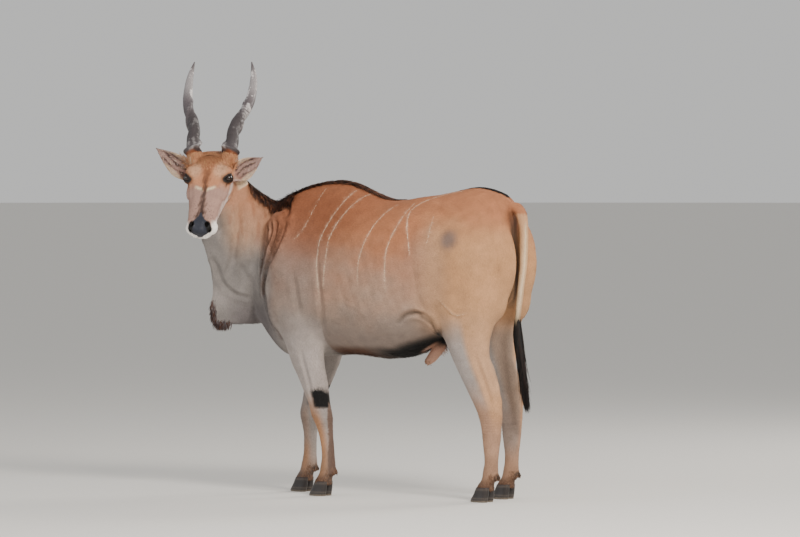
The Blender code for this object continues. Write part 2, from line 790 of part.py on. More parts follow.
def mouth_cutter(home):
    """A thin wedge that runs round the muzzle, the line of the mouth."""
    path = (
        (0.372, 0.074, -0.052),
        (0.400, 0.070, -0.046),
        (0.430, 0.067, -0.041),
        (0.460, 0.062, -0.038),
        (0.484, 0.046, -0.036),
        (0.498, 0.024, -0.035),
        (0.503, 0.000, -0.036),
    )
    there_and_back = list(path) + [(a, -b, c) for a, b, c in reversed(path[:-1])]
    line = bpy.data.curves.new("mouth_line", "CURVE")
    line.dimensions = "3D"
    line.bevel_depth = 0.0042
    line.bevel_resolution = 0
    line.use_fill_caps = True
    points = [in_head(*p) for p in curve_through(there_and_back, 2)]
    strand = line.splines.new("POLY")
    strand.points.add(len(points) - 1)
    for point, place in zip(strand.points, points):
        point.co = (*place, 1.0)
    guide = bpy.data.objects.new("mouth_guide", line)
    home.objects.link(guide)
    graph = bpy.context.evaluated_depsgraph_get()
    data = bpy.data.meshes.new_from_object(guide.evaluated_get(graph))
    bpy.data.objects.remove(guide)
    mesh = bmesh.new()
    mesh.from_mesh(data)
    bmesh.ops.remove_doubles(mesh, verts=mesh.verts[:], dist=0.00005)
    return put("mouth_cutter", mesh, home)


def nostril_cutters(mesh):
    """Comma-shaped nostrils at the sides of the nose pad."""
    turn = head_turn()
    for side in (-1, 1):
        lean = Matrix.Rotation(side * math.radians(28), 3, "X")
        ball(mesh, in_head(0.494, side * 0.034, 0.002), (0.020, 0.0085, 0.014), turn @ lean, 12)
        ball(mesh, in_head(0.487, side * 0.043, 0.014), (0.018, 0.0095, 0.0075), turn @ lean, 12)


def make_head(animal, cutters):
    """The head with its lids, nostrils and mouth, and the eyes in their sockets."""
    mesh = bmesh.new()
    loft(mesh, skull_rings())
    loft(mesh, list(neck_rings())[9:])
    head_masses(mesh)
    head = fuse(put("head", mesh, animal, "face"), HEAD_VOXEL, 5, HEAD_FACETS)
    head.data.materials.clear()
    head.data.materials.append(finish("face"))
    cut(head, head_block(cutters, "head_region", 0.0), "INTERSECT")
    for name, side in (("left", 1), ("right", -1)):
        along, out, up = EYE_PLACE
        place = in_head(along, side * out, up)
        for label, radius in (("eye_" + name, EYE_RADIUS), ("socket", EYE_RADIUS + GAP * 1.5)):
            mesh = bmesh.new()
            ball(mesh, place, (radius,) * 3, head_turn(), 12)
            if label == "socket":
                socket = put(label, mesh, cutters)
            else:
                put(label, mesh, animal, "eye")
        mesh = bmesh.new()
        almond(mesh, side)
        opening = put("lid_opening", mesh, cutters)
        cut(opening, socket, "UNION")
        cut(head, opening)
    cut(head, mouth_cutter(cutters))
    mesh = bmesh.new()
    nostril_cutters(mesh)
    nostrils = put("nostrils", mesh, cutters)
    cut_all(head, nostrils)
    return head


def cut_all(thing, tool):
    """Cuts by a tool made of several closed balls."""
    boolean = thing.modifiers.new("cut", "BOOLEAN")
    boolean.operation = "DIFFERENCE"
    boolean.use_self = True
    boolean.object = tool
    settle(thing)
    return keep_largest(thing)


def make_ear(name, side, animal, cutters, neighbours):
    """A leaf-shaped cup, rolled at its base, that opens forwards."""
    way = EAR_WAYS[name.split("_")[1]].normalized()
    opening = Vector((0.5, -0.8, 0.0)) + HEAD_LEFT * side * 0.2
    opening = (opening - way * opening.dot(way)).normalized()
    across = way.cross(opening)
    root = in_head(EAR_PLACE[0], side * EAR_PLACE[1], EAR_PLACE[2])
    rows, columns = 10, 6
    rings = []
    for i in range(rows):
        share = i / (rows - 1)
        distance = -0.030 + (EAR_LENGTH + 0.030) * share
        leaf = math.sin(math.pi * min(0.10 + 0.90 * share, 1.0) ** 0.85)
        width = EAR_WIDTH * max(0.30 * (1 - share) + 0.95 * leaf, 0.05)
        cup = math.radians(290 - 170 * min(share / 0.45, 1.0) ** 0.8)
        outer = width * 1.25 / cup
        wall = EAR_THICKNESS + (outer * 0.7 - EAR_THICKNESS) * max(1 - share / 0.2, 0.0)
        wall = min(wall, outer * 0.8)
        line = []
        for radius, order in ((outer, range(columns)), (outer - wall, range(columns - 1, -1, -1))):
            for j in order:
                angle = cup * (j / (columns - 1) - 0.5)
                line.append(
                    root
                    + way * distance
                    + across * radius * math.sin(angle)
                    - opening * (radius * math.cos(angle) - outer * 0.6)
                )
        rings.append(line)
    mesh = bmesh.new()
    loft(mesh, rings)
    ear = put(name, mesh, animal, "hide_pale")
    for neighbour in neighbours:
        tool = grown(neighbour, "neighbour_and_gap", cutters, GAP * 1.6)
        cut(ear, tool, solver="MANIFOLD")
    return ear


def along_steps(steps, share):
    """A value between even steps."""
    place = share * (len(steps) - 1)
    i = min(int(place), len(steps) - 2)
    return steps[i] + (steps[i + 1] - steps[i]) * (place - i)


def horn_point(share, side):
    """The middle of a horn at a share of its length."""
    spread = along_steps(HORN_SPREAD, min(max(share, 0.0), 1.0))
    back = -ALONG * math.cos(HORN_RISE) + CROWN * math.sin(HORN_RISE)
    bow = FACING * (0.020 * math.sin(2 * math.pi * share))
    start = in_head(HORN_PLACE[0], side * spread, HORN_PLACE[1])
    return start + back * HORN_LENGTH * share + bow - HEAD_LEFT * (HORN_LEAN * share)


def make_horn(name, side, animal, cutters, head):
    """A tapering horn with one keel that winds up its lower half."""
    rows, count = 32, 10
    rings = []
    for i in range(rows + 1):
        share = i / rows
        centre = horn_point(share, side)
        way = (horn_point(share + 0.02, side) - horn_point(share - 0.02, side)).normalized()
        front = (CROWN - way * CROWN.dot(way)).normalized()
        outer = way.cross(front) * -side
        radius = along_steps(HORN_RADII, share)
        radius *= 1 + HORN_FLANGE * math.exp(-(((share - HORN_COLLAR) / 0.018) ** 2))
        radius *= 1 - HORN_STALK * min(max((0.080 - share) / 0.040, 0.0), 1.0)
        twist = math.radians(-60) + HORN_TWIST * min(share / HORN_TWIST_END, 1.15)
        keel = HORN_KEEL * (1 - min(share / 0.70, 1.0)) ** 0.6 * min(share / 0.09, 1.0)
        points = []
        for j in range(count):
            angle = 2 * math.pi * j / count
            off = math.remainder(angle - twist, 2 * math.pi)
            reach = radius * (0.92 + keel * math.exp(-((off / 0.42) ** 2)))
            points.append(centre + front * reach * math.cos(angle) + outer * reach * math.sin(angle))
        rings.append(points)
    mesh = bmesh.new()
    loft(mesh, rings)
    bmesh.ops.triangulate(mesh, faces=mesh.faces[:])
    horn = put(name, mesh, animal, "horn")
    cut(horn, grown(head, "head_and_gap", cutters, GAP * 1.6))
    return horn


def make_claws(animal):
    """The two claws of each hoof, flat on the floor."""
    paths = {"fore": FORE_PATHS, "hind": HIND_PATHS}
    side = Vector((0, 1, 0))
    for pair, found in paths.items():
        for name, path in found.items():
            middle = at_height(curve_through(path, 4), 0.080)
            for label, lean in (("outer", SIDES[name]), ("inner", -SIDES[name])):
                mesh = bmesh.new()
                rings = []
                for height, shift, half_length, half_width in CLAW:
                    centre = Vector((middle.x - shift, middle.y + lean * CLAW_SPREAD, height))
                    toe = Vector((-1, -lean * 0.16, 0)).normalized()
                    across = UPRIGHT.cross(toe)
                    rings.append(
                        ring(centre, across, toe, half_width, half_length, half_length * 0.8, (1.6, 2.4), 12)
                    )
                loft(mesh, rings)
                put(f"claw_{pair}_{name}_{label}", mesh, animal, "hoof")


def make_tail(animal, cutters, torso):
    """The tail from its dock to the core of its brush."""
    mesh = bmesh.new()
    loft(mesh, tail_tube(TAIL[:-1] + BRUSH[1:], 0.0))
    tail = put("tail", mesh, animal, "hide_tan")
    cut(tail, grown(torso, "torso_and_gap", cutters, GAP * 1.6))
    return tail


def tail_tube(table, more):
    """The rings of the tail or its brush, made thicker by this much."""
    rows = curve_through(table, 2)
    for i, (x, y, z, radius) in enumerate(rows):
        way = Vector(rows[min(i + 1, len(rows) - 1)][:3]) - Vector(rows[max(i - 1, 0)][:3])
        side = way.cross(Vector((1, 0, 0.2))).normalized()
        up = way.normalized().cross(side)
        yield ring(Vector((x, y, z)), side, up, radius + more, radius + more, radius + more, count=10)


def tail_channel(cutters):
    """The groove between the buttocks, in which the tail hangs."""
    mesh = bmesh.new()
    loft(mesh, list(tail_tube(TAIL, 0.006))[5:])
    return put("tail_channel", mesh, cutters)


def leg_block(name, pair, side, home, grow):
    """The region of a leg, below a slanted cut through the armpit or groin."""
    if pair == "fore":
        rows = (
            (0.02, -0.78, -0.22, 0.02, 0.50),
            (0.640, -0.68, -0.285, 0.02, 0.50),
            (0.690, -0.66, -0.300, 0.02, 0.50),
            (0.800, -0.65, -0.310, 0.12, 0.50),
            (0.880, -0.61, -0.350, 0.22, 0.50),
            (0.920, -0.54, -0.430, 0.26, 0.50),
        )
    else:
        rows = (
            (0.02, 0.400, 0.90, 0.02, 0.50),
            (0.720, 0.345, 0.90, 0.02, 0.50),
            (0.800, 0.345, 0.90, 0.02, 0.50),
            (0.900, 0.290, 0.90, 0.12, 0.50),
            (1.000, 0.270, 0.85, 0.22, 0.50),
            (1.070, 0.340, 0.76, 0.28, 0.50),
        )
    corners = []
    for height, front, back, inner, outer in rows:
        for x in (front, back):
            corners.append((x, side * inner, height))
            corners.append((x, side * outer, height))
    return block(name, corners, home, grow)


def part_body(animal, cutters):
    """Parts the whole skin into torso, neck, dewlap and legs."""
    whole = whole_body(cutters)
    cut(whole, head_block(cutters, "head_region_gap", GAP))
    cut(whole, tail_channel(cutters))
    add_hair(whole, body_hair())
    for pair in ("fore", "hind"):
        for name, side in SIDES.items():
            label = f"{pair}leg_{name}"
            leg = copy_of(whole, label, animal)
            cut(leg, leg_block("leg_region", pair, side, cutters, 0.0), "INTERSECT")
            below = block(
                "below_hoof",
                [(x, y, z) for x in (-2, 2) for y in (-1, 1) for z in (-0.5, HOOF_TOP)],
                cutters,
            )
            cut(leg, below)
            leg.data.materials.clear()
            leg.data.materials.append(finish("hide_grey"))
    for pair in ("fore", "hind"):
        for name, side in SIDES.items():
            cut(whole, leg_block("leg_region_gap", pair, side, cutters, GAP))
    neck = copy_of(whole, "neck", animal)
    front = neck_block(cutters, "neck_region", 0.0)
    cut(neck, front, "INTERSECT")
    torso = copy_of(whole, "torso", animal)
    cut(torso, neck_block(cutters, "neck_region_gap", GAP))
    dewlap = copy_of(neck, "dewlap", animal)
    cut(dewlap, dewlap_block(cutters, "dewlap_region", 0.0), "INTERSECT")
    cut(neck, dewlap_block(cutters, "dewlap_region_gap", GAP))
    for thing, colour in ((neck, "hide_pale"), (torso, "hide_tan"), (dewlap, "hide_grey")):
        thing.data.materials.clear()
        thing.data.materials.append(finish(colour))
    return torso


def neck_block(home, name, grow):
    """The region in front of the cut where the neck leaves the shoulders."""
    corners = []
    for y in (-0.6, 0.6):
        corners.append((-0.640, y, 1.80))
        corners.append((-0.860, y, 0.60))
        corners.append((-1.60, y, 1.90))
        corners.append((-1.60, y, 0.60))
    return block(name, corners, home, grow)


def dewlap_block(home, name, grow):
    """The region of the flap, in front of the throat."""
    side = UPRIGHT.cross(DEWLAP_WAY) * 0.5
    corners = []
    for way in (-1, 1):
        for height, start in ((1.42, 0.262), (1.26, 0.165), (0.80, 0.02)):
            corners.append(DEWLAP_ROOT + DEWLAP_WAY * start + UPRIGHT * height + side * way)
        for height in (1.42, 0.70):
            corners.append(DEWLAP_ROOT + DEWLAP_WAY * 0.6 + UPRIGHT * height + side * way)
    return block(name, corners, home, grow)


def main():
    random.seed(SEED)
    animal, cutters = start_clean()
    torso = part_body(animal, cutters)
    head = make_head(animal, cutters)
    for name, side in (("left", 1), ("right", -1)):
        horn = make_horn("horn_" + name, side, animal, cutters, head)
        make_ear("ear_" + name, side, animal, cutters, (head, horn))
    make_claws(animal)
    tail = make_tail(animal, cutters, torso)
    make_sheath(animal, cutters, torso)
    add_hair(head, forehead_hair())
    add_hair(tail, brush_hair())
    for tool in list(cutters.objects):
        bpy.data.objects.remove(tool)
    for thing in animal.objects:
        thing.location = BODY_SHIFT
        print(thing.name, len(thing.data.polygons))


main()
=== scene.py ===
# %% [markdown]
# # A life-size eland bull, dressed for its portrait
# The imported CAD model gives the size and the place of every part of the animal.
# This lesson builds what the eye sees on top of it: one skin of soft flesh, hair in
# tufts and locks, wet eyes, worn horns and hooves, and a small photo studio.

# %% Load the frame that everything fits
import math
import bpy
import bmesh
import numpy as np
from mathutils import Matrix, Vector
from mathutils.kdtree import KDTree


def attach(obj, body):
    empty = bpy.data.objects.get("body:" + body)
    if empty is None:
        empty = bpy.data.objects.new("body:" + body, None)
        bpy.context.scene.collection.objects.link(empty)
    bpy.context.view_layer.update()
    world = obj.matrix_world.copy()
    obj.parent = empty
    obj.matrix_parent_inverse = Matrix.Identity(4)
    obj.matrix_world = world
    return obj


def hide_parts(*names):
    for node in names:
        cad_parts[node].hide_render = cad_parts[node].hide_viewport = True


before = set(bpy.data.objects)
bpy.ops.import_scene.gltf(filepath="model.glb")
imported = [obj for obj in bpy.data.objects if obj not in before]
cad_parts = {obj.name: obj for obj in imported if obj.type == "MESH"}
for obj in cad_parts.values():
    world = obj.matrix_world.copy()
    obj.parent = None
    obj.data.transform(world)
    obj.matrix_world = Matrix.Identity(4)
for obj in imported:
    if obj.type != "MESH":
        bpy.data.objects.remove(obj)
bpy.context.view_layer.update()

# %% [markdown]
# The sizes below are those of the solids, in metres: the animal faces -X, its left side
# is towards -Y and the floor is at 0. The whole animal is drawn about its own trunk and
# moved by HOME at the end, so that it stands over the middle of its own box.

# %% Sizes of the body
HOME = Vector((0.23425, 0.157, 0.0))
SEED = 12
# Distance along the back, top, bottom, half width, height of the widest point, squareness.
TRUNK = (
    (-0.850, 1.25, 0.98, 0.050, 1.12, 2.0, 2.0), (-0.800, 1.35, 0.86, 0.110, 1.10, 2.0, 2.0),
    (-0.720, 1.44, 0.755, 0.165, 1.07, 1.9, 1.9), (-0.640, 1.50, 0.695, 0.200, 1.04, 1.8, 1.9),
    (-0.550, 1.545, 0.685, 0.225, 1.03, 1.7, 2.0), (-0.460, 1.570, 0.690, 0.240, 1.02, 1.6, 2.0),
    (-0.375, 1.582, 0.700, 0.250, 1.02, 1.55, 2.1), (-0.290, 1.578, 0.710, 0.262, 1.01, 1.6, 2.1),
    (-0.200, 1.550, 0.708, 0.278, 1.00, 1.7, 2.2), (-0.110, 1.512, 0.700, 0.292, 0.99, 1.85, 2.2),
    (-0.040, 1.490, 0.695, 0.302, 0.98, 2.0, 2.2), (0.050, 1.492, 0.705, 0.304, 0.98, 2.1, 2.2),
    (0.150, 1.506, 0.738, 0.296, 1.00, 2.1, 2.2), (0.260, 1.520, 0.800, 0.272, 1.04, 2.1, 2.1),
    (0.360, 1.540, 0.865, 0.250, 1.10, 2.0, 2.0), (0.450, 1.556, 0.910, 0.235, 1.15, 1.9, 2.0),
    (0.530, 1.545, 0.930, 0.215, 1.17, 1.9, 2.0), (0.600, 1.522, 0.960, 0.175, 1.19, 1.9, 2.0),
    (0.648, 1.488, 1.000, 0.110, 1.20, 1.9, 2.0),
)
# Middle of the neck, half height, half width.
NECK = (
    (-0.500, 0.000, 1.190, 0.330, 0.190), (-0.640, -0.002, 1.222, 0.286, 0.150),
    (-0.745, -0.030, 1.270, 0.230, 0.122), (-0.830, -0.092, 1.366, 0.170, 0.104),
    (-0.892, -0.160, 1.482, 0.132, 0.096), (-0.925, -0.212, 1.588, 0.114, 0.094),
    (-0.925, -0.262, 1.655, 0.102, 0.090),
)
# Dewlap: height, start and end along the flap, half thickness at root and at edge.
DEWLAP_ROOT = Vector((-0.800, -0.020, 0.0))
DEWLAP_WAY = Vector((-0.687, -0.727, 0.0)).normalized()
DEWLAP = (
    (1.400, 0.120, 0.330, 0.080, 0.050), (1.310, 0.090, 0.326, 0.085, 0.044),
    (1.220, 0.050, 0.298, 0.090, 0.030), (1.120, 0.020, 0.270, 0.085, 0.020),
    (1.010, -0.030, 0.264, 0.080, 0.016), (0.940, -0.050, 0.270, 0.070, 0.016),
    (0.885, -0.040, 0.262, 0.050, 0.015), (0.850, 0.020, 0.236, 0.030, 0.013),
)
# Legs: height, half length fore and aft, half width, and the path of each from its top down.
FORELEG = (
    (0.980, 0.170, 0.085), (0.880, 0.150, 0.083), (0.790, 0.118, 0.076), (0.700, 0.098, 0.067),
    (0.610, 0.085, 0.057), (0.530, 0.074, 0.051), (0.470, 0.062, 0.048), (0.430, 0.060, 0.049),
    (0.390, 0.058, 0.048), (0.355, 0.048, 0.041), (0.300, 0.039, 0.033), (0.220, 0.036, 0.030),
    (0.175, 0.038, 0.033), (0.142, 0.043, 0.038), (0.108, 0.037, 0.035), (0.080, 0.045, 0.043),
    (0.052, 0.048, 0.045),
)
HINDLEG = (
    (1.150, 0.200, 0.085), (1.050, 0.215, 0.098), (0.960, 0.200, 0.096), (0.870, 0.158, 0.088),
    (0.790, 0.124, 0.080), (0.715, 0.106, 0.070), (0.650, 0.094, 0.060), (0.600, 0.088, 0.053),
    (0.550, 0.084, 0.048), (0.500, 0.080, 0.047), (0.450, 0.072, 0.047), (0.385, 0.060, 0.041),
    (0.310, 0.051, 0.036), (0.230, 0.040, 0.031), (0.178, 0.038, 0.033), (0.142, 0.042, 0.038),
    (0.108, 0.036, 0.035), (0.080, 0.044, 0.043), (0.052, 0.047, 0.045),
)
FETLOCK_HEIGHT = 0.128
HOCK_HEIGHT = 0.500
CORONET_HEIGHT = 0.080
LEG_PATHS = {
    "fore_left": (
        (-0.500, -0.150, 0.980), (-0.448, -0.160, 0.700), (-0.409, -0.147, 0.560),
        (-0.376, -0.132, 0.410), (-0.352, -0.126, 0.290), (-0.345, -0.122, 0.150),
        (-0.372, -0.120, 0.080), (-0.384, -0.120, 0.000),
    ),
    "fore_right": (
        (-0.515, 0.150, 0.980), (-0.530, 0.160, 0.700), (-0.562, 0.147, 0.560),
        (-0.600, 0.130, 0.410), (-0.597, 0.124, 0.290), (-0.600, 0.120, 0.150),
        (-0.628, 0.120, 0.080), (-0.640, 0.120, 0.000),
    ),
    "hind_left": (
        (0.440, -0.140, 1.150), (0.475, -0.160, 0.800), (0.530, -0.150, 0.600),
        (0.586, -0.139, 0.460), (0.597, -0.132, 0.340), (0.590, -0.130, 0.150),
        (0.562, -0.130, 0.080), (0.550, -0.130, 0.000),
    ),
    "hind_right": (
        (0.430, 0.140, 1.150), (0.448, 0.160, 0.800), (0.497, 0.150, 0.600),
        (0.550, 0.139, 0.460), (0.566, 0.132, 0.340), (0.563, 0.130, 0.150),
        (0.535, 0.130, 0.080), (0.523, 0.130, 0.000),
    ),
}
# Tail: middle and radius. Sheath: distance along, height and radius.
TAIL = (
    (0.622, 0.000, 1.448, 0.030), (0.662, 0.000, 1.446, 0.033), (0.690, 0.000, 1.415, 0.031),
    (0.703, 0.000, 1.340, 0.027), (0.703, 0.000, 1.240, 0.025), (0.700, 0.000, 1.150, 0.022),
    (0.687, 0.000, 1.050, 0.020), (0.674, 0.000, 0.930, 0.018), (0.665, 0.000, 0.840, 0.020),
    (0.672, 0.000, 0.770, 0.022), (0.682, 0.000, 0.700, 0.016), (0.692, 0.000, 0.650, 0.006),
)
SHEATH = (
    (0.270, 0.800, 0.026), (0.230, 0.755, 0.032), (0.195, 0.712, 0.031), (0.168, 0.682, 0.025),
    (0.152, 0.666, 0.014),
)

# %% Sizes of the head, in its own frame: along to the nose, to its left, to its crown
HEAD_ROOT = Vector((-0.9325, -0.2571, 1.6809))
FACING = Vector((-math.cos(math.radians(110)), -math.sin(math.radians(110)), 0.0))
UPRIGHT = Vector((0, 0, 1))
ALONG = (FACING - UPRIGHT).normalized()
CROWN = (FACING + UPRIGHT).normalized()
HEAD_LEFT = CROWN.cross(ALONG)
HEAD_TURN = Matrix((ALONG, HEAD_LEFT, CROWN)).transposed()
SKULL = (
    (-0.030, 0.075, 0.046, 0.075, 2.6, 2.0), (0.000, 0.092, 0.060, 0.098, 2.9, 2.1),
    (0.045, 0.104, 0.073, 0.118, 3.1, 2.2), (0.095, 0.110, 0.081, 0.127, 3.1, 2.4),
    (0.140, 0.111, 0.083, 0.125, 3.0, 2.5), (0.185, 0.107, 0.079, 0.119, 2.7, 2.6),
    (0.235, 0.098, 0.070, 0.109, 2.5, 2.5), (0.295, 0.087, 0.060, 0.096, 2.4, 2.4),
    (0.355, 0.078, 0.052, 0.083, 2.4, 2.3), (0.405, 0.073, 0.046, 0.074, 2.4, 2.2),
    (0.445, 0.071, 0.042, 0.069, 2.5, 2.2), (0.475, 0.067, 0.036, 0.064, 2.5, 2.2),
    (0.495, 0.055, 0.024, 0.054, 2.4, 2.2), (0.506, 0.034, 0.008, 0.036, 2.2, 2.2),
)
EYE_PLACE = (0.168, 0.1005, 0.043)
EYE_RADIUS = 0.0245
LID_THICKNESS = 0.0055
LID_OPENING = (0.0262, 0.0138, 0.022)
EAR_PLACE = (0.100, 0.098, -0.018)
EAR_WAYS = {"right": Vector((-0.1895, -0.0517, 0.148)), "left": Vector((0.0527, 0.2187, 0.101))}
EAR_LENGTH = 0.247
EAR_WIDTH = 0.096
EAR_WALL = 0.0045
SIDES = {"left": 1, "right": -1}

# %% [markdown]
# Most of the animal is a tube that changes its section, such as a trunk, a neck or a leg.
# A tube can be a bevelled curve, but a curve's section stays one shape. Here each tube
# starts as a circle primitive whose one face is extruded from ring to ring, and each ring
# is then set to its own section, as you would do by hand with E and S.

# %% Curves and sections
def smooth_rows(rows, steps):
    """Rows of numbers with more rows between them, on a Catmull-Rom curve."""
    rows = np.array(rows, float)
    found = []
    last = len(rows) - 1
    for i in range(last):
        a, b, c, d = (rows[min(max(j, 0), last)] for j in (i - 1, i, i + 1, i + 2))
        for k in range(steps):
            t = k / steps
            found.append(
                0.5 * (2 * b + (c - a) * t + (2 * a - 5 * b + 4 * c - d) * t**2
                       + (3 * b - a - 3 * c + d) * t**3)
            )
    return np.array(found + [rows[last]])


def at_height(path, height):
    """The point of a path that runs down, at that height."""
    for above, below in zip(path, path[1:]):
        if height >= below[2]:
            break
    share = (above[2] - height) / (above[2] - below[2])
    return Vector(above).lerp(Vector(below), share)


def section(centre, side, up, half_width, rise, drop, powers=(2.0, 2.0), count=48):
    """A closed ring of points, rounder or squarer above and below its widest line."""
    points = []
    for i in range(count):
        angle = 2 * math.pi * i / count
        c, s = math.cos(angle), math.sin(angle)
        power = powers[0] if s >= 0 else powers[1]
        across = half_width * math.copysign(abs(c) ** (2 / power), c)
        height = (rise if s >= 0 else drop) * math.copysign(abs(s) ** (2 / power), s)
        points.append(centre + side * across + up * height)
    return points


def in_head(along, left, crown):
    """A point given in the head's own frame."""
    return HEAD_ROOT + ALONG * along + HEAD_LEFT * left + CROWN * crown


def on_side(place, side):
    """A place of the head's left side, or its mirror image, in the body's frame."""
    return in_head(place[0], side * place[1], place[2])


def ear_turns(name):
    """The ways along an ear, across it and out of its opening."""
    way = EAR_WAYS[name].normalized()
    opening = Vector((0.5, -0.8, 0.0)) + HEAD_LEFT * SIDES[name] * 0.2
    opening = (opening - way * opening.dot(way)).normalized()
    return way, way.cross(opening), opening


# %% Tools that shape a piece with Blender's own operators
def deselect():
    """Leaves no object selected, so that the next operator acts on its own piece."""
    for thing in bpy.context.selected_objects:
        thing.select_set(False)


def use(*things):
    """Selects these objects alone. The first is the active one."""
    deselect()
    for thing in things:
        thing.select_set(True)
    bpy.context.view_layer.objects.active = things[0]
    return things[0]


def tube(name, rings):
    """A closed skin, extruded from one ring of points to the next."""
    deselect()
    bpy.ops.mesh.primitive_circle_add(vertices=len(rings[0]), radius=0.1, fill_type="NGON")
    piece = bpy.context.object
    piece.name = name
    bpy.ops.object.mode_set(mode="EDIT")
    for number, ring in enumerate(rings):
        if number:
            bpy.ops.mesh.extrude_region_move()
        mesh = bmesh.from_edit_mesh(piece.data)
        face = next(f for f in mesh.faces if f.select)
        for corner, point in zip(face.verts, ring):
            corner.co = point
        bmesh.update_edit_mesh(piece.data)
    bpy.ops.mesh.select_all(action="SELECT")
    bpy.ops.mesh.normals_make_consistent(inside=False)
    bpy.ops.object.mode_set(mode="OBJECT")
    return piece


def ball(centre, radii, turn=None, segments=28):
    """An ellipsoid: a muscle, a bone's end or a swelling of the face."""
    deselect()
    bpy.ops.mesh.primitive_uv_sphere_add(
        segments=segments, ring_count=segments // 2, radius=1, location=centre, scale=radii,
        rotation=(turn or Matrix.Identity(3)).to_euler(),
    )
    bpy.ops.object.transform_apply(location=True, rotation=True, scale=True)
    return bpy.context.object


def one_skin(name, pieces, voxel, smoothing, softness=None):
    """Melts overlapping pieces into one skin and softens it, less where softness is low."""
    whole = use(*pieces)
    bpy.ops.object.join()
    whole.name = name
    whole.data.remesh_voxel_size = voxel
    bpy.ops.object.voxel_remesh()
    if smoothing:
        soften = whole.modifiers.new("soften", "SMOOTH")
        soften.factor = 0.5
        soften.iterations = smoothing
        if softness is not None:
            weight_by(whole, "soft", softness(corners(whole)))
            soften.vertex_group = "soft"
        bpy.ops.object.modifier_apply(modifier="soften")
    return whole


def corners(piece):
    """The corners of a mesh as an array."""
    found = np.empty(len(piece.data.vertices) * 3, np.float32)
    piece.data.vertices.foreach_get("co", found)
    return found.reshape(-1, 3).astype(float)


def normals_of(piece):
    """The outward direction of each corner as an array."""
    found = np.empty(len(piece.data.vertices) * 3, np.float32)
    piece.data.vertex_normals.foreach_get("vector", found)
    return found.reshape(-1, 3).astype(float)


def move_corners(piece, places):
    """Puts the corners of a mesh at these places."""
    piece.data.vertices.foreach_set("co", places.astype(np.float32).ravel())
    piece.data.update()


def weight_by(piece, name, weights):
    """A vertex group with about these weights, in tenths."""
    group = piece.vertex_groups.get(name) or piece.vertex_groups.new(name=name)
    tenths = np.round(np.clip(weights, 0, 1) * 10).astype(int)
    for level in range(11):
        members = np.flatnonzero(tenths == level).tolist()
        if members:
            group.add(members, level / 10, "REPLACE")
    return group


def ramp(low, high, values):
    """0 below low, 1 above high and smooth between them."""
    t = np.clip((values - low) / (high - low), 0, 1)
    return t * t * (3 - 2 * t)


# %% [markdown]
# The flesh: trunk, neck, dewlap, legs and the big muscles under the hide. Each is a plain
# form that runs well into its neighbour. A voxel remesh melts them together, as clay does,
# and a smoothing pass gives the soft dips between muscles. The legs and the flap of the
# dewlap are smoothed less, so that they keep their thickness.

# %% The body's forms
def body_forms():
    """Trunk, neck, dewlap and legs as tubes and balls that overlap."""
    side = Vector((0, 1, 0))
    yield tube("trunk", [
        section(Vector((x, 0, wide)), side, UPRIGHT, half, top - wide, wide - bottom, (over, under))
        for x, top, bottom, half, wide, over, under in smooth_rows(TRUNK, 3)
    ])
    yield tube("neck", neck_rings())
    flap = UPRIGHT.cross(DEWLAP_WAY)
    rings = []
    for height, start, end, root_half, edge_half in smooth_rows(DEWLAP, 4):
        ring = []
        for i in range(24):
            angle = 2 * math.pi * i / 24
            share = (1 - math.cos(angle)) / 2
            thick = (root_half + (edge_half - root_half) * share) * math.sin(angle)
            place = DEWLAP_ROOT + DEWLAP_WAY * (start + (end - start) * share)
            ring.append(place + flap * thick + UPRIGHT * height)
        rings.append(ring)
    yield tube("dewlap", rings)
    for name, path in LEG_PATHS.items():
        rows = FORELEG if name.startswith("fore") else HINDLEG
        smooth_path = smooth_rows(path, 4)
        yield tube(name, [
            section(at_height(smooth_path, height), side, Vector((-1, 0, 0)), half_width,
                    half_length, half_length, count=24)
            for height, half_length, half_width in smooth_rows(rows, 2)
        ])
        fetlock = at_height(smooth_path, FETLOCK_HEIGHT)
        for lean in (-1, 1):
            yield ball(fetlock + Vector((0.040, lean * 0.019, -0.010)), (0.014, 0.011, 0.019))
        if rows is HINDLEG:
            hock = at_height(smooth_path, HOCK_HEIGHT)
            yield ball(hock + Vector((0.066, 0, 0)), (0.026, 0.024, 0.046), pitch(-8))
            yield ball(hock + Vector((0.052, 0, 0.105)), (0.016, 0.018, 0.110), pitch(-16))


def neck_rings():
    """Rings of the neck, across the way it bends."""
    rows = smooth_rows(NECK, 3)
    rings = []
    for i, (x, y, z, half_height, half_width) in enumerate(rows):
        before = Vector(rows[max(i - 1, 0)][:3])
        after = Vector(rows[min(i + 1, len(rows) - 1)][:3])
        way = (after - before).normalized()
        side = UPRIGHT.cross(way).normalized()
        rings.append(section(Vector((x, y, z)), side, way.cross(side), half_width,
                             half_height, half_height))
    return rings


def pitch(degrees):
    """A turn about the animal's side to side axis."""
    return Matrix.Rotation(math.radians(degrees), 3, "Y")


# Muscles of one side: place, radii, tilt.
MUSCLES = (
    ((-0.560, 0.140, 1.130), (0.120, 0.086, 0.310), -14),
    ((-0.560, 0.155, 0.950), (0.120, 0.076, 0.140), 0),
    ((-0.420, 0.160, 0.880), (0.105, 0.070, 0.170), 24),
    ((0.420, 0.145, 1.130), (0.220, 0.112, 0.300), 8),
    ((0.575, 0.105, 1.190), (0.144, 0.088, 0.245), -3),
    ((0.565, 0.120, 1.040), (0.110, 0.078, 0.170), -14),
    ((0.340, 0.115, 1.390), (0.130, 0.065, 0.080), 10),
    ((0.300, 0.150, 0.920), (0.080, 0.075, 0.120), -30),
)


def muscle_forms():
    """The swellings of the body, alike on both sides, and the belly."""
    for (x, y, z), radii, tilt in MUSCLES:
        for side in (-1, 1):
            yield ball((x, side * y, z), radii, pitch(tilt))
    yield ball((0.0, 0.0, 0.960), (0.300, 0.300, 0.262))


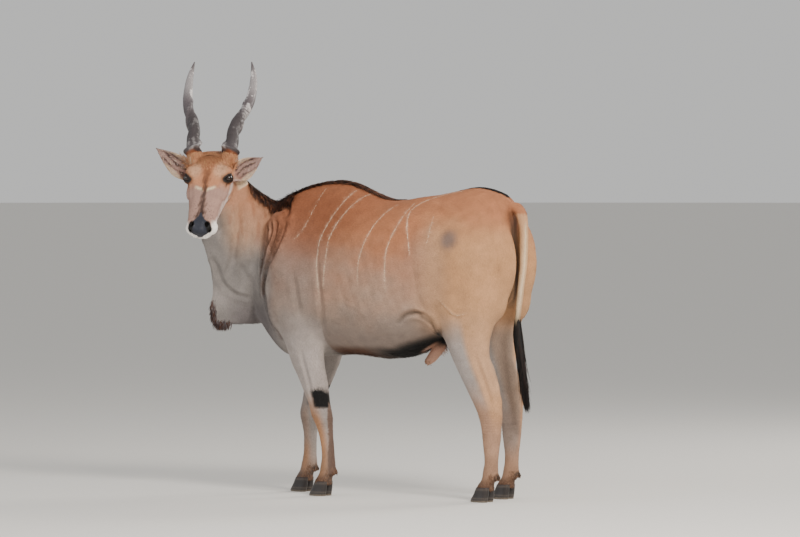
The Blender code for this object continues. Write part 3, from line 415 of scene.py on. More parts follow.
def body_softness(points):
    """Less smoothing low on the legs and on the dewlap, which are thin."""
    by_height = np.clip((points[:, 2] - 0.62) / 0.25, 0.15, 1.0)
    by_flap = np.where((points[:, 0] < -0.78) & (points[:, 2] < 1.35), 0.25, 1.0)
    return np.minimum(by_height, by_flap)


body = one_skin("body", [*body_forms(), *muscle_forms()], 0.012, 30, body_softness)
print("body", len(body.data.polygons), "faces")

# %% [markdown]
# The head is drawn the same way in its own frame. The skull is a tube of squarish rings.
# Balls add the cheeks, the brows, the sockets of the eyes, the lips and the chin.

# %% The head's forms
def head_forms():
    """Skull, upper neck and the swellings of the face."""
    yield tube("skull", [
        section(in_head(along, 0, 0), HEAD_LEFT, CROWN, half, rise, drop, (over, under), 40)
        for along, half, rise, drop, over, under in smooth_rows(SKULL, 3)
    ])
    yield tube("upper_neck", neck_rings()[9:])
    lid = EYE_RADIUS + LID_THICKNESS
    for side in (-1, 1):
        for place, radii in (
            (EYE_PLACE, (lid, lid, lid)),
            ((0.140, 0.084, 0.052), (0.054, 0.036, 0.029)),
            ((0.205, 0.088, 0.010), (0.085, 0.020, 0.022)),
            ((0.115, 0.062, -0.058), (0.105, 0.048, 0.076)),
            ((0.030, 0.088, 0.050), (0.060, 0.040, 0.040)),
            ((0.092, 0.088, -0.016), (0.042, 0.032, 0.042)),
            ((0.448, 0.048, -0.024), (0.042, 0.034, 0.030)),
            ((0.472, 0.038, 0.012), (0.030, 0.024, 0.024)),
        ):
            yield ball(on_side(place, side), radii, HEAD_TURN)
    yield ball(in_head(0.100, 0, 0.058), (0.080, 0.080, 0.032), HEAD_TURN)
    yield ball(in_head(0.430, 0, -0.058), (0.054, 0.042, 0.022), HEAD_TURN)
    yield ball(in_head(0.490, 0, -0.002), (0.022, 0.038, 0.030), HEAD_TURN)


head = one_skin("head", list(head_forms()), 0.0045, 5)
print("head", len(head.data.polygons), "faces")

# %% The tail's flesh and the sheath
def tail_and_sheath():
    """The two thin tubes that hang from the body."""
    rows = smooth_rows(TAIL, 3)
    rings = []
    for i, (x, y, z, radius) in enumerate(rows):
        way = Vector(rows[min(i + 1, len(rows) - 1)][:3]) - Vector(rows[max(i - 1, 0)][:3])
        side = way.cross(Vector((1, 0, 0.2))).normalized()
        rings.append(section(Vector((x, y, z)), side, way.normalized().cross(side),
                             radius, radius, radius, count=20))
    yield tube("tail", rings)
    up = Vector((0.85, 0, -0.5)).normalized()
    yield tube("sheath", [
        section(Vector((x, 0, z)), Vector((0, 1, 0)), up, radius * 0.8, radius, radius, count=20)
        for x, z, radius in smooth_rows(SHEATH, 3)
    ])


skin = one_skin("skin", [body, head, *tail_and_sheath()], 0.0042, 4)
print("skin", len(skin.data.polygons), "faces")

# %% [markdown]
# A bull's hide hangs in folds where the neck meets the shoulder, and grooves part the
# muscles of the legs. Sculpting them with a brush would need a window, so each fold is a
# short path of points on the hide. The skin near a path is pushed in along it and raised
# a little beside it, which is what a crease brush does.

# %% Folds, grooves and veins of the hide
def on_path(points, path, reach):
    """Which points lie near a path, how far off they are and how far along it, 0 to 1."""
    line = smooth_rows(path, 5)
    near = np.all((points > line.min(0) - reach) & (points < line.max(0) + reach), axis=1)
    chosen = np.flatnonzero(near)
    best = np.full(len(chosen), 1e9)
    share = np.zeros(len(chosen))
    for i, (start, end) in enumerate(zip(line, line[1:])):
        run = end - start
        off = points[chosen] - start
        t = np.clip(off @ run / max(run @ run, 1e-12), 0, 1)
        away = np.linalg.norm(off - t[:, None] * run, axis=1)
        closer = away < best
        best[closer] = away[closer]
        share[closer] = ((i + t) / (len(line) - 1))[closer]
    return chosen, best, share


def mirrored(path):
    """The same path on the other side of the animal."""
    return [(x, -y, z) for x, y, z in path]


def crease(heights, points, path, width, depth):
    """Adds a crease to the heights of the skin: depth is in metres, negative for a vein."""
    chosen, away, share = on_path(points, path, width * 4)
    fade = np.sin(np.pi * np.clip(share, 0.02, 0.98)) ** 0.6
    groove = np.exp(-((away / width) ** 2))
    bank = np.exp(-(((away - 2.0 * width) / width) ** 2))
    heights[chosen] += depth * fade * (FOLD_LIP * bank - groove)


FLANK_FOLD = ((0.150, -0.270, 0.885), (0.190, -0.268, 0.920), (0.240, -0.250, 0.928),
              (0.290, -0.225, 0.890), (0.315, -0.190, 0.840))
THIGH_VEIN = ((0.353, -0.242, 1.000), (0.448, -0.246, 0.925), (0.510, -0.243, 0.935))
# Path, width and depth, where a depth below 0 raises a vein or a ridge. These folds are
# alike on both sides of the animal.
BODY_FOLDS = (
    (((-0.368, -0.203, 1.265), (-0.338, -0.244, 1.115), (-0.314, -0.257, 0.995),
      (-0.315, -0.234, 0.875), (-0.341, -0.180, 0.785)), 0.014, 0.006),
    (((0.164, -0.184, 1.405), (0.207, -0.258, 1.235), (0.240, -0.275, 1.075),
      (0.265, -0.259, 0.975), (0.300, -0.220, 0.895)), 0.014, 0.0036),
    (FLANK_FOLD, 0.013, 0.008),
    (THIGH_VEIN, 0.006, -0.0018),
    (((0.595, -0.190, 0.780), (0.612, -0.170, 0.690), (0.628, -0.160, 0.600)), 0.008, -0.003),
    (((0.545, -0.215, 0.730), (0.575, -0.200, 0.640), (0.602, -0.183, 0.545),
      (0.622, -0.178, 0.465)), 0.011, 0.006),
    (((-0.445, -0.229, 0.735), (-0.421, -0.210, 0.610), (-0.401, -0.185, 0.485)), 0.010, 0.004),
    (((-0.375, -0.200, 0.760), (-0.375, -0.200, 0.680), (-0.372, -0.190, 0.600)), 0.008, 0.003),
    (((0.571, -0.089, 1.485), (0.640, -0.143, 1.335), (0.650, -0.165, 1.185),
      (0.630, -0.170, 1.060), (0.605, -0.180, 0.950)), 0.014, 0.005),
    (((0.230, -0.110, 1.490), (0.330, -0.150, 1.450), (0.420, -0.170, 1.425)), 0.016, -0.005),
    (((-0.185, -0.280, 0.985), (-0.061, -0.295, 0.935), (0.038, -0.266, 0.835)), 0.006, -0.0010),
    (((-0.500, -0.238, 1.150), (-0.470, -0.232, 1.020), (-0.445, -0.225, 0.900)), 0.016, 0.005),
    (((-0.560, -0.150, 1.480), (-0.500, -0.215, 1.330), (-0.450, -0.235, 1.200)), 0.018, 0.004),
)
# Folds of the neck, which bends to the left and so has its own on each side.
NECK_FOLDS = (
    (((-0.613, -0.057, 1.485), (-0.566, -0.179, 1.365), (-0.603, -0.216, 1.235),
      (-0.666, -0.187, 1.135), (-0.695, -0.176, 1.035), (-0.663, -0.182, 0.915),
      (-0.612, -0.140, 0.785)), 0.012, 0.016),
    (((-0.699, 0.011, 1.485), (-0.605, -0.191, 1.355), (-0.643, -0.206, 1.205),
      (-0.697, -0.173, 1.115)), 0.009, 0.010),
    (((-0.695, -0.056, 1.470), (-0.631, -0.197, 1.335), (-0.673, -0.185, 1.215),
      (-0.715, -0.165, 1.120)), 0.008, 0.009),
    (((-0.705, -0.090, 1.430), (-0.658, -0.190, 1.305), (-0.715, -0.162, 1.155)), 0.008, 0.007),
    (((-0.692, -0.161, 1.300), (-0.711, -0.159, 1.200), (-0.720, -0.163, 1.095),
      (-0.725, -0.155, 0.995)), 0.010, 0.006),
    (((-0.814, -0.209, 1.525), (-0.825, -0.211, 1.340), (-0.871, -0.182, 1.200),
      (-0.900, -0.182, 1.110)), 0.014, 0.006),
    (((-0.770, -0.190, 1.470), (-0.770, -0.190, 1.340), (-0.790, -0.175, 1.200)), 0.010, 0.004),
    (((-0.975, -0.235, 1.200), (-0.952, -0.210, 1.145), (-0.929, -0.191, 1.065),
      (-0.874, -0.156, 1.005), (-0.805, -0.106, 0.985)), 0.012, 0.007),
    (((-0.640, 0.180, 1.380), (-0.690, 0.170, 1.250), (-0.720, 0.140, 1.100)), 0.013, 0.008),
    (((-0.740, 0.130, 1.400), (-0.780, 0.110, 1.260), (-0.800, 0.090, 1.120)), 0.011, 0.006),
    (((-0.850, 0.030, 1.440), (-0.890, 0.010, 1.300), (-0.900, -0.020, 1.150)), 0.011, 0.005),
)
# Lines of the face in the head's frame.
FACE_FOLDS = (
    (((0.135, 0.112, 0.072), (0.165, 0.122, 0.082), (0.200, 0.112, 0.070)), 0.005, 0.0022),
    (((0.190, 0.105, 0.022), (0.215, 0.100, 0.016), (0.250, 0.093, 0.010)), 0.006, 0.0025),
    (((0.200, 0.080, 0.060), (0.260, 0.072, 0.050), (0.330, 0.060, 0.046)), 0.010, 0.0022),
    (((0.215, 0.102, -0.010), (0.290, 0.088, -0.014), (0.370, 0.078, -0.018)), 0.008, -0.0030),
    (((0.240, 0.096, -0.030), (0.290, 0.086, -0.050), (0.330, 0.076, -0.062)), 0.005, -0.0016),
    (((0.372, 0.076, -0.052), (0.385, 0.074, -0.034), (0.400, 0.072, -0.018)), 0.005, 0.0020),
    (((0.452, 0.062, 0.030), (0.470, 0.066, 0.008), (0.462, 0.070, -0.012)), 0.004, 0.0022),
    (((0.150, 0.100, -0.080), (0.200, 0.096, -0.060), (0.230, 0.098, -0.030)), 0.011, 0.0040),
    (((0.445, 0.018, 0.044), (0.470, 0.022, 0.038), (0.490, 0.022, 0.024)), 0.004, 0.0012),
)
# The folds of body and neck are this many times as deep as the tables say, for the coat
# fills them, and the bank beside a fold has this share of its depth.
FOLD_DEPTH = 1.45
FOLD_LIP = 0.35
RIB_SPACING = 0.062
KNEE_WRINKLES = 0.013


def to_body(path):
    """A path given in the head's frame, in the body's."""
    return [tuple(in_head(*point)) for point in path]


def waves(points, size, seed):
    """A soft, even unrest between -1 and 1, about this far from crest to crest."""
    draw = np.random.default_rng(seed)
    total = np.zeros(len(points))
    for _ in range(7):
        way = draw.normal(size=3)
        way *= 2 * np.pi / (size * draw.uniform(0.7, 1.5) * np.linalg.norm(way))
        total += np.sin(points @ way + draw.uniform(0, 7))
    return total / 7 * 1.6


def sculpt(piece):
    """Lays all folds, ribs, wrinkles and unrest into a piece's surface."""
    points = corners(piece)
    heights = np.zeros(len(points))
    for path, width, depth in BODY_FOLDS:
        for line in (path, mirrored(path)):
            crease(heights, points, line, width, depth * FOLD_DEPTH)
    for path, width, depth in NECK_FOLDS:
        crease(heights, points, path, width, depth * FOLD_DEPTH)
    for path, width, depth in FACE_FOLDS:
        for line in (path, mirrored(path)):
            crease(heights, points, to_body(line), width, depth)
    x, _, z = points.T
    trunk = ramp(-0.30, -0.15, x) * ramp(0.30, 0.15, x) * ramp(0.85, 1.0, z) * ramp(1.40, 1.25, z)
    ribs = (x + 0.35 * z) * 2 * np.pi / RIB_SPACING + 1.5 * waves(points, 0.3, 6)
    heights += 0.0013 * trunk * np.sin(ribs)
    neck = ramp(-0.60, -0.70, x) * ramp(1.50, 1.35, z) * ramp(0.80, 0.9, z)
    heights += 0.0022 * neck * waves(points * (1, 1, 0.22), 0.045, 3)
    knees = ramp(0.46, 0.43, z) * ramp(0.30, 0.34, z)
    heights += 0.0010 * knees * np.sin(z * 2 * np.pi / KNEE_WRINKLES)
    heights += 0.0012 * waves(points, 0.16, 4) + 0.0004 * waves(points, 0.03, 5)
    move_corners(piece, points + normals_of(piece) * heights[:, None])


sculpt(skin)

# %% [markdown]
# The hide lies under the hair, so the skin is drawn in by the coat's depth. It is then
# made lighter: Decimate takes faces from the broad flanks first and leaves the face alone,
# where the lids, lips and nostrils need them.

# %% Draw the skin in under the coat and make it lighter
def head_shares(points):
    """Along, left and crown of points in the head's frame."""
    off = points - np.array(HEAD_ROOT)
    return np.stack([off @ np.array(way) for way in (ALONG, HEAD_LEFT, CROWN)], axis=1)


def headness(points):
    """1 on the head and 0 behind the jaw."""
    along, left, crown = head_shares(points).T
    rows = np.array(SKULL)
    jaw = -np.interp(along, rows[:, 0], rows[:, 3])
    inside = (along < 0.53) & (np.abs(left) < 0.17) & (points[:, 2] > 1.2)
    return ramp(-0.04, 0.03, along + 0.4 * crown) * ramp(jaw - 0.035, jaw - 0.012, crown) * inside


SKIN_FACES = 150000
places = corners(skin)
on_head = headness(places)
coat_depth = 0.0030 - 0.0020 * on_head - 0.0015 * ramp(0.5, 0.2, places[:, 2]) * (1 - on_head)
move_corners(skin, places - normals_of(skin) * coat_depth[:, None])
weight_by(skin, "thin_out", 1 - 0.92 * on_head)
use(skin)
thin = skin.modifiers.new("thin_out", "DECIMATE")
thin.ratio = SKIN_FACES / (2 * len(skin.data.polygons))
thin.vertex_group = "thin_out"
thin.vertex_group_factor = 1.0
bpy.ops.object.modifier_apply(modifier="thin_out")
skin.vertex_groups.clear()
print("light skin", len(skin.data.polygons), "triangles")

# %% [markdown]
# The openings of the face are real openings: lids round each eye, two comma-shaped
# nostrils and the line of the mouth. A Boolean cut by a simple form leaves a clean rim,
# and the Manifold solver does it fast on a dense skin. The ears are grown on by a union.

# %% Cut the lids, nostrils and mouth
def boolean(piece, tool, operation):
    """Cuts a tool out of a piece or grows it on, and deletes the tool."""
    use(piece)
    change = piece.modifiers.new("shape", "BOOLEAN")
    change.operation = operation
    change.solver = "MANIFOLD"
    change.object = tool
    bpy.ops.object.modifier_apply(modifier="shape")
    bpy.data.objects.remove(tool)


def gaze_turn(side):
    """The way an eye looks, with its inner corner first."""
    gaze = (HEAD_LEFT * side * 0.62 + ALONG * 0.42 + CROWN * 0.60).normalized()
    inner = ALONG * 0.5 - HEAD_LEFT * side * 0.85
    corner = (inner - gaze * inner.dot(gaze)).normalized()
    return Matrix((corner, gaze.cross(corner), gaze)).transposed()


MOUTH = (
    (0.372, 0.074, -0.052), (0.400, 0.070, -0.046), (0.430, 0.067, -0.041),
    (0.460, 0.062, -0.038), (0.484, 0.046, -0.036), (0.498, 0.024, -0.035), (0.503, 0.0, -0.036),
)


def mouth_line():
    """A thin tube along the lips from corner to corner, which cuts the mouth."""
    there_and_back = list(MOUTH) + mirrored(reversed(MOUTH[:-1]))
    path = [in_head(*row) for row in smooth_rows(there_and_back, 3)]
    rings = []
    for i, point in enumerate(path):
        way = (path[min(i + 1, len(path) - 1)] - path[max(i - 1, 0)]).normalized()
        up = (CROWN - way * CROWN.dot(way)).normalized()
        rings.append(section(point, up.cross(way), up, 0.0075, 0.0022, 0.0022, count=12))
    return tube("mouth_line", rings)


# Place and radii of the two swellings that make one comma-shaped nostril.
NOSTRIL_TOP = ((0.474, 0.040, 0.024), (0.018, 0.0105, 0.018))
NOSTRIL_END = ((0.485, 0.046, 0.006), (0.014, 0.0080, 0.013))
boolean(skin, mouth_line(), "DIFFERENCE")
for side in (-1, 1):
    eye = on_side(EYE_PLACE, side)
    turn = gaze_turn(side)
    opening = ball(eye + turn.col[2] * EYE_RADIUS, LID_OPENING, turn, 40)
    boolean(skin, opening, "DIFFERENCE")
    boolean(skin, ball(eye, (EYE_RADIUS + 0.0006,) * 3, turn, 48), "DIFFERENCE")
    lean = HEAD_TURN @ Matrix.Rotation(side * math.radians(28), 3, "X")
    for place, radii in (NOSTRIL_TOP, NOSTRIL_END):
        boolean(skin, ball(on_side(place, side), radii, lean), "DIFFERENCE")
print("cut skin", len(skin.data.polygons), "faces")

# %% Grow the ears on
def ear(side_name):
    """A leaf-shaped cup, rolled at its base, that opens forwards."""
    way, across, opening = ear_turns(side_name)
    root = on_side(EAR_PLACE, SIDES[side_name])
    rows, columns = 40, 22
    rings = []
    for i in range(rows):
        share = i / (rows - 1)
        distance = -0.030 + (EAR_LENGTH + 0.027) * share
        leaf = math.sin(math.pi * min(0.10 + 0.90 * share, 1.0) ** 0.85)
        width = (EAR_WIDTH - 0.003) * max(0.30 * (1 - share) + 0.95 * leaf, 0.05)
        cup = math.radians(290 - 170 * min(share / 0.45, 1.0) ** 0.8)
        outer = width * 1.25 / cup
        wall = EAR_WALL + (outer * 0.7 - EAR_WALL) * max(1 - share / 0.2, 0.0)
        wall = min(wall, outer * 0.8)
        line = []
        for face, order in ((0, range(columns)), (1, range(columns - 1, -1, -1))):
            for j in order:
                angle = cup * (j / (columns - 1) - 0.5)
                edge = abs(2 * j / (columns - 1) - 1)
                ridge = 0.0016 * math.cos(angle * 7) * face * math.sin(math.pi * share)
                radius = outer - face * wall * (1 - 0.45 * edge**4) - ridge
                roll = 0.0035 * edge**6 * math.sin(math.pi * share)
                line.append(root + way * distance + across * (radius + roll) * math.sin(angle)
                            - opening * (radius * math.cos(angle) - outer * 0.6))
        rings.append(line)
    return tube("ear_" + side_name, rings)


for side_name in SIDES:
    boolean(skin, ear(side_name), "UNION")
print("skin with ears", len(skin.data.polygons), "faces")

# %% [markdown]
# An eland's coat is short and changes colour slowly: tawny over the back, blue-grey low on
# the neck, the belly and the upper legs, with thin white stripes down the flanks, a black
# crest and a black garter behind the near knee. The skin and every tuft of hair ask the
# same function for their colour at a place, so the markings run on through the coat.

# %% Named colours of coat, horns, hooves and eyes
def linear(code):
    """An sRGB hex colour as linear red, green and blue."""
    parts = np.array([int(code[i:i + 2], 16) for i in (1, 3, 5)]) / 255
    return np.where(parts <= 0.04045, parts / 12.92, ((parts + 0.055) / 1.055) ** 2.4)


COAT = {name: linear(code) for name, code in {
    "tawny": "#A46B4A", "rust": "#8A5134", "sand": "#BC8C60", "fawn": "#BB977A",
    "grey": "#84756C", "blue_grey": "#79736F", "pale_grey": "#ACA29D", "slate": "#5C5557",
    "black": "#0B0909", "brown": "#4A2A18", "dark_brown": "#2A1812", "white": "#E6DDD0",
    "cream": "#D9C3A2", "rufous": "#B57C5A", "face_grey": "#A07F72", "cheek": "#DCCCC5",
    "muzzle": "#FCF6F0", "nose": "#2B2D37", "pink": "#8C5A4A", "stripe": "#D8C4AC",
    "sheath": "#B08570", "ear_inside": "#846862", "ear_dark": "#33201E", "shank": "#A5754F",
    "pastern": "#84654F",
    "horn": "#554D50", "horn_dark": "#2E2728", "horn_pale": "#C9C3C2", "horn_tip": "#57504E",
    "claw": "#262120", "claw_pale": "#5D534B", "claw_dust": "#8A7B69",
    "iris": "#2A160C", "pupil": "#040304", "eye_rim": "#120A08",
}.items()}

# White stripes of the flanks: path from the back down, half width and strength.
FLANK_STRIPES = (
    (((-0.214, -0.029, 1.545), (-0.342, -0.188, 1.320), (-0.355, -0.224, 1.195),
      (-0.337, -0.246, 1.095), (-0.318, -0.262, 1.000)), 0.0042, 0.75),
    (((-0.143, -0.022, 1.520), (-0.283, -0.189, 1.335), (-0.299, -0.233, 1.195),
      (-0.296, -0.258, 1.050)), 0.0042, 0.80),
    (((0.041, -0.101, 1.465), (-0.030, -0.188, 1.380), (-0.082, -0.258, 1.225),
      (-0.083, -0.286, 1.090)), 0.0040, 0.75),
    (((0.150, -0.100, 1.475), (0.083, -0.245, 1.295), (0.072, -0.285, 1.180),
      (0.085, -0.297, 1.040)), 0.0040, 0.75),
    (((0.390, -0.050, 1.530), (0.285, -0.053, 1.515), (0.148, -0.157, 1.435),
      (0.201, -0.259, 1.220)), 0.0042, 0.75),
    (((0.293, -0.178, 1.410), (0.287, -0.237, 1.275)), 0.0036, 0.45),
    (((-0.400, -0.060, 1.560), (-0.450, -0.190, 1.400), (-0.500, -0.220, 1.300)), 0.0036, 0.35),
    (THIGH_VEIN, 0.0036, 0.22),
)


def laid(path):
    """A path drawn down onto the skin."""
    return [tuple(skin.closest_point_on_mesh(Vector(row))[1]) for row in smooth_rows(path, 5)]


FLANK_STRIPES = [(laid(path), half, strength) for path, half, strength in FLANK_STRIPES]
# Painted shade: brown laid in the grooves of the first five neck folds.
NECK_FOLD_SHADE = [(laid(path), width * 0.8) for path, width, _ in NECK_FOLDS[:5]]
# Painted shade in black: in the flank fold, where the light does not reach, and beside the
# tail, where it is shade and dark hair together: path, half width and strength.
SHADE_AND_DARK_HAIR_LINES = [(laid(path), half, strength) for path, half, strength in (
    (FLANK_FOLD, 0.010, 0.60),
    (((0.648, -0.033, 1.415), (0.650, -0.012, 1.360), (0.650, -0.008, 1.295),
      (0.652, -0.011, 1.225), (0.654, -0.017, 1.155), (0.653, -0.022, 1.085),
      (0.649, -0.020, 1.025), (0.608, -0.046, 0.965)), 0.030, 0.95),
)]


# %% The colour of the coat at any place
def line_mark(points, path, half_width):
    """1 on a thin line over the hide, fading to its ends and edges."""
    found = np.zeros(len(points))
    chosen, away, share = on_path(points, path, half_width * 3)
    ends = np.sin(np.pi * np.clip(share, 0.03, 0.97)) ** 0.25
    found[chosen] = np.exp(-((away / half_width) ** 2)) * ends
    return found


def patch(points, centre, radii, soft=0.35):
    """1 inside an ellipsoid and 0 outside, with a soft edge."""
    away = np.linalg.norm((points - np.array(centre)) / np.array(radii), axis=1)
    return 1 - ramp(1 - soft, 1 + soft, away)


def blend(base, name, share):
    """Lays a named colour over the base."""
    return base + (COAT[name] - base) * np.clip(share, 0, 1)[:, None]


def croup_width(x):
    """Half the width of the dark line over the croup."""
    return np.interp(x, (0.30, 0.42, 0.56, 0.63), (0.008, 0.026, 0.026, 0.008))


def body_colour(points):
    """Trunk, belly and thighs, with the flank's stripes."""
    x, y, z = points.T
    near = np.stack([x, -np.abs(y), z], axis=1)
    soft = 0.05 * waves(points, 0.35, 21) + 0.02 * waves(points, 0.09, 22)
    base = blend(np.tile(COAT["grey"], (len(x), 1)), "fawn", 0.35 * ramp(0.75, 1.0, z + soft))
    base = blend(base, "tawny", ramp(0.80, 1.42, z + 2.2 * soft))
    base = blend(base, "rust", 0.70 * ramp(1.28, 1.52, z + soft) * ramp(0.30, -0.05, x))
    shoulder = patch(near, (-0.54, -0.20, 1.02), (0.22, 0.20, 0.34), 0.6)
    base = blend(base, "blue_grey", 0.55 * shoulder)
    base = blend(base, "rust", 0.75 * patch(near, (-0.44, -0.20, 1.40), (0.20, 0.20, 0.17), 0.6))
    base = blend(base, "brown", 0.26 * patch(near, (-0.36, -0.20, 1.38), (0.20, 0.20, 0.20), 0.7))
    haunch = ramp(0.18, 0.34, x) * ramp(0.74, 0.95, z)
    base = blend(base, "sand", 0.75 * haunch * ramp(1.5, 1.2, z + soft))
    base = blend(base, "tawny", 0.6 * haunch * ramp(1.30, 1.48, z + soft))
    base = blend(base, "grey", 0.30 * patch(near, (0.30, -0.25, 1.12), (0.10, 0.12, 0.22), 0.6))
    # Painted shade: slate laid in a small hollow high on the haunch.
    hollow_shade = patch(near, (0.408, -0.233, 1.292), (0.045, 0.06, 0.045), 0.6)
    base = blend(base, "slate", 0.75 * hollow_shade)
    base = blend(base, "grey", 0.45 * ramp(1.0, 0.84, z + soft) * ramp(-0.3, -0.1, x)
                 * ramp(0.3, 0.1, x))
    belly = ramp(0.055, 0.015, z - 0.715 - 0.35 * np.maximum(x - 0.06, 0)) * ramp(-0.42, -0.25, x)
    belly *= ramp(0.40, 0.32, x)
    base = blend(base, "brown", belly * ramp(0.05, -0.15, x))
    base = blend(base, "black", belly * ramp(-0.15, 0.05, x))
    # Painted shade: black in the flank fold, and shade with dark hair beside the tail.
    for path, half_width, strength in SHADE_AND_DARK_HAIR_LINES:
        base = blend(base, "black", strength * line_mark(near, path, half_width))
    croup = ramp(1.15, 0.7, np.abs(y) / croup_width(x))
    croup *= ramp(0.31, 0.37, x) * ramp(0.63, 0.60, x) * (z > 1.40)
    base = blend(base, "black", 0.85 * croup)
    for path, half_width, strength in FLANK_STRIPES:
        base = blend(base, "stripe", 0.35 * strength * line_mark(near, path, half_width))
    return base


def neck_colour(points, base):
    """Neck and dewlap, laid over the body's colour."""
    x, _, z = points.T
    front = ramp(-0.60, -0.72, x)
    rows = smooth_rows(NECK, 4)
    which = np.argmin(((points[:, None, :] - rows[None, :, :3]) ** 2).sum(axis=2), axis=1)
    above = (z - rows[which, 2]) / rows[which, 3]
    soft = 0.25 * waves(points * (1, 1, 0.5), 0.25, 23)
    base = blend(base, "blue_grey", front)
    warm = ramp(-0.94, -0.83, x + 0.05 * soft) * ramp(1.12, 1.36, z + 0.1 * soft)
    warm = np.maximum(warm, ramp(1.42, 1.56, z))
    base = blend(base, "fawn", 0.80 * front * warm)
    base = blend(base, "tawny", 0.65 * front * warm * ramp(-0.7, 0.4, above + soft))
    strands = waves(points * (1, 1, 0.16), 0.030, 35)
    base = blend(base, "rust", 0.40 * front * warm * ramp(0.1, 0.8, strands))
    base = blend(base, "pale_grey", 0.30 * front * (1 - warm) * ramp(0.2, 0.9, strands))
    base = blend(base, "tawny", 0.45 * front * ramp(1.36, 1.52, z))
    base = blend(base, "rust", 0.5 * front * ramp(0.35, 0.95, above + soft))
    nape = ramp(0.10, 0.85, above + 0.8 * soft) * (0.35 + 0.65 * ramp(-0.3, 0.5, strands))
    base = blend(base, "brown", 0.60 * front * nape * ramp(1.52, 1.44, z))
    base = blend(base, "rust", 0.35 * patch(points, (-0.66, -0.19, 1.33), (0.07, 0.08, 0.17), 0.6))
    flap = front * ramp(1.30, 1.10, z)
    base = blend(base, "blue_grey", 0.9 * flap)
    base = blend(base, "pale_grey", 0.30 * flap * ramp(0.1, 0.9, waves(points, 0.22, 34)))
    along = (points - np.array(DEWLAP_ROOT)) @ np.array(DEWLAP_WAY)
    base = blend(base, "white", 0.45 * front * ramp(0.250, 0.275, along) * ramp(1.05, 0.9, z))
    base = blend(base, "slate", 0.7 * flap * ramp(1.05, 0.88, z) * ramp(0.25, 0.1, along))
    # Painted shade in the grooves of the neck folds.
    for path, width in NECK_FOLD_SHADE:
        base = blend(base, "brown", 0.72 * line_mark(points, path, width))
    return base


def leg_colour(points, base):
    """Legs with the garter of the forelegs, dark heels and painted shade on their inner faces."""
    x, y, z = points.T
    fore = x < 0
    soft = 0.03 * waves(points, 0.12, 24) + 0.03 * waves(points, 0.3, 37)
    low = ramp(1.00, 0.64, z + soft)
    base = blend(base, "pale_grey", 0.75 * low)
    for name, path in LEG_PATHS.items():
        line = smooth_rows(path, 4)
        order = np.argsort(line[:, 2])
        middle = np.interp(z, line[order, 2], line[order, 0])
        own = np.sign(y) == (1 if name.endswith("right") else -1)
        own &= fore == name.startswith("fore")
        ahead = ramp(0.042, -0.010, x - middle) * own
        behind = ramp(0.0, 0.04, x - middle) * own
        centre = np.interp(z, line[order, 2], np.abs(line[order, 1]))
        inner = ramp(0.005, -0.025, np.abs(y) - centre) * own * ramp(0.95, 0.80, z)
        if name.startswith("fore"):
            base = blend(base, "shank", 0.90 * ahead * ramp(0.56, 0.36, z + soft))
            base = blend(base, "blue_grey", 0.5 * behind * ramp(0.60, 0.35, z))
            garter = ramp(0.435, 0.450, z) * ramp(0.545, 0.530, z + soft)
            base = blend(base, "black", garter * ramp(-0.020, 0.0, x - middle) * own)
        else:
            base = blend(base, "shank", 0.70 * own * ramp(0.62, 0.42, z + soft))
            base = blend(base, "sand", 0.75 * behind * ramp(0.30, 0.5, z) * ramp(1.02, 0.85, z))
        # Painted shade: blue-grey on the inner faces, which look towards the other legs.
        base = blend(base, "blue_grey", 0.65 * inner * ramp(0.16, 0.30, z))
    base = blend(base, "pastern", 0.6 * ramp(0.26, 0.12, z + soft))
    base = blend(base, "dark_brown", 0.7 * ramp(0.125, 0.085, z))
    for path in LEG_PATHS.values():
        heel = np.array(at_height(path, FETLOCK_HEIGHT)) + (0.046, 0, -0.010)
        base = blend(base, "black", 0.9 * patch(points, heel, (0.014, 0.034, 0.020), 0.3))
    return base


# The dark line below the inner corner of an eye, in the head's frame, and the dark roots
# of the whiskers.
TEAR_LINE = ((0.190, 0.104, 0.040), (0.205, 0.096, 0.034), (0.222, 0.090, 0.030))
FRECKLES = 26
FRECKLE_RADIUS = 0.0019


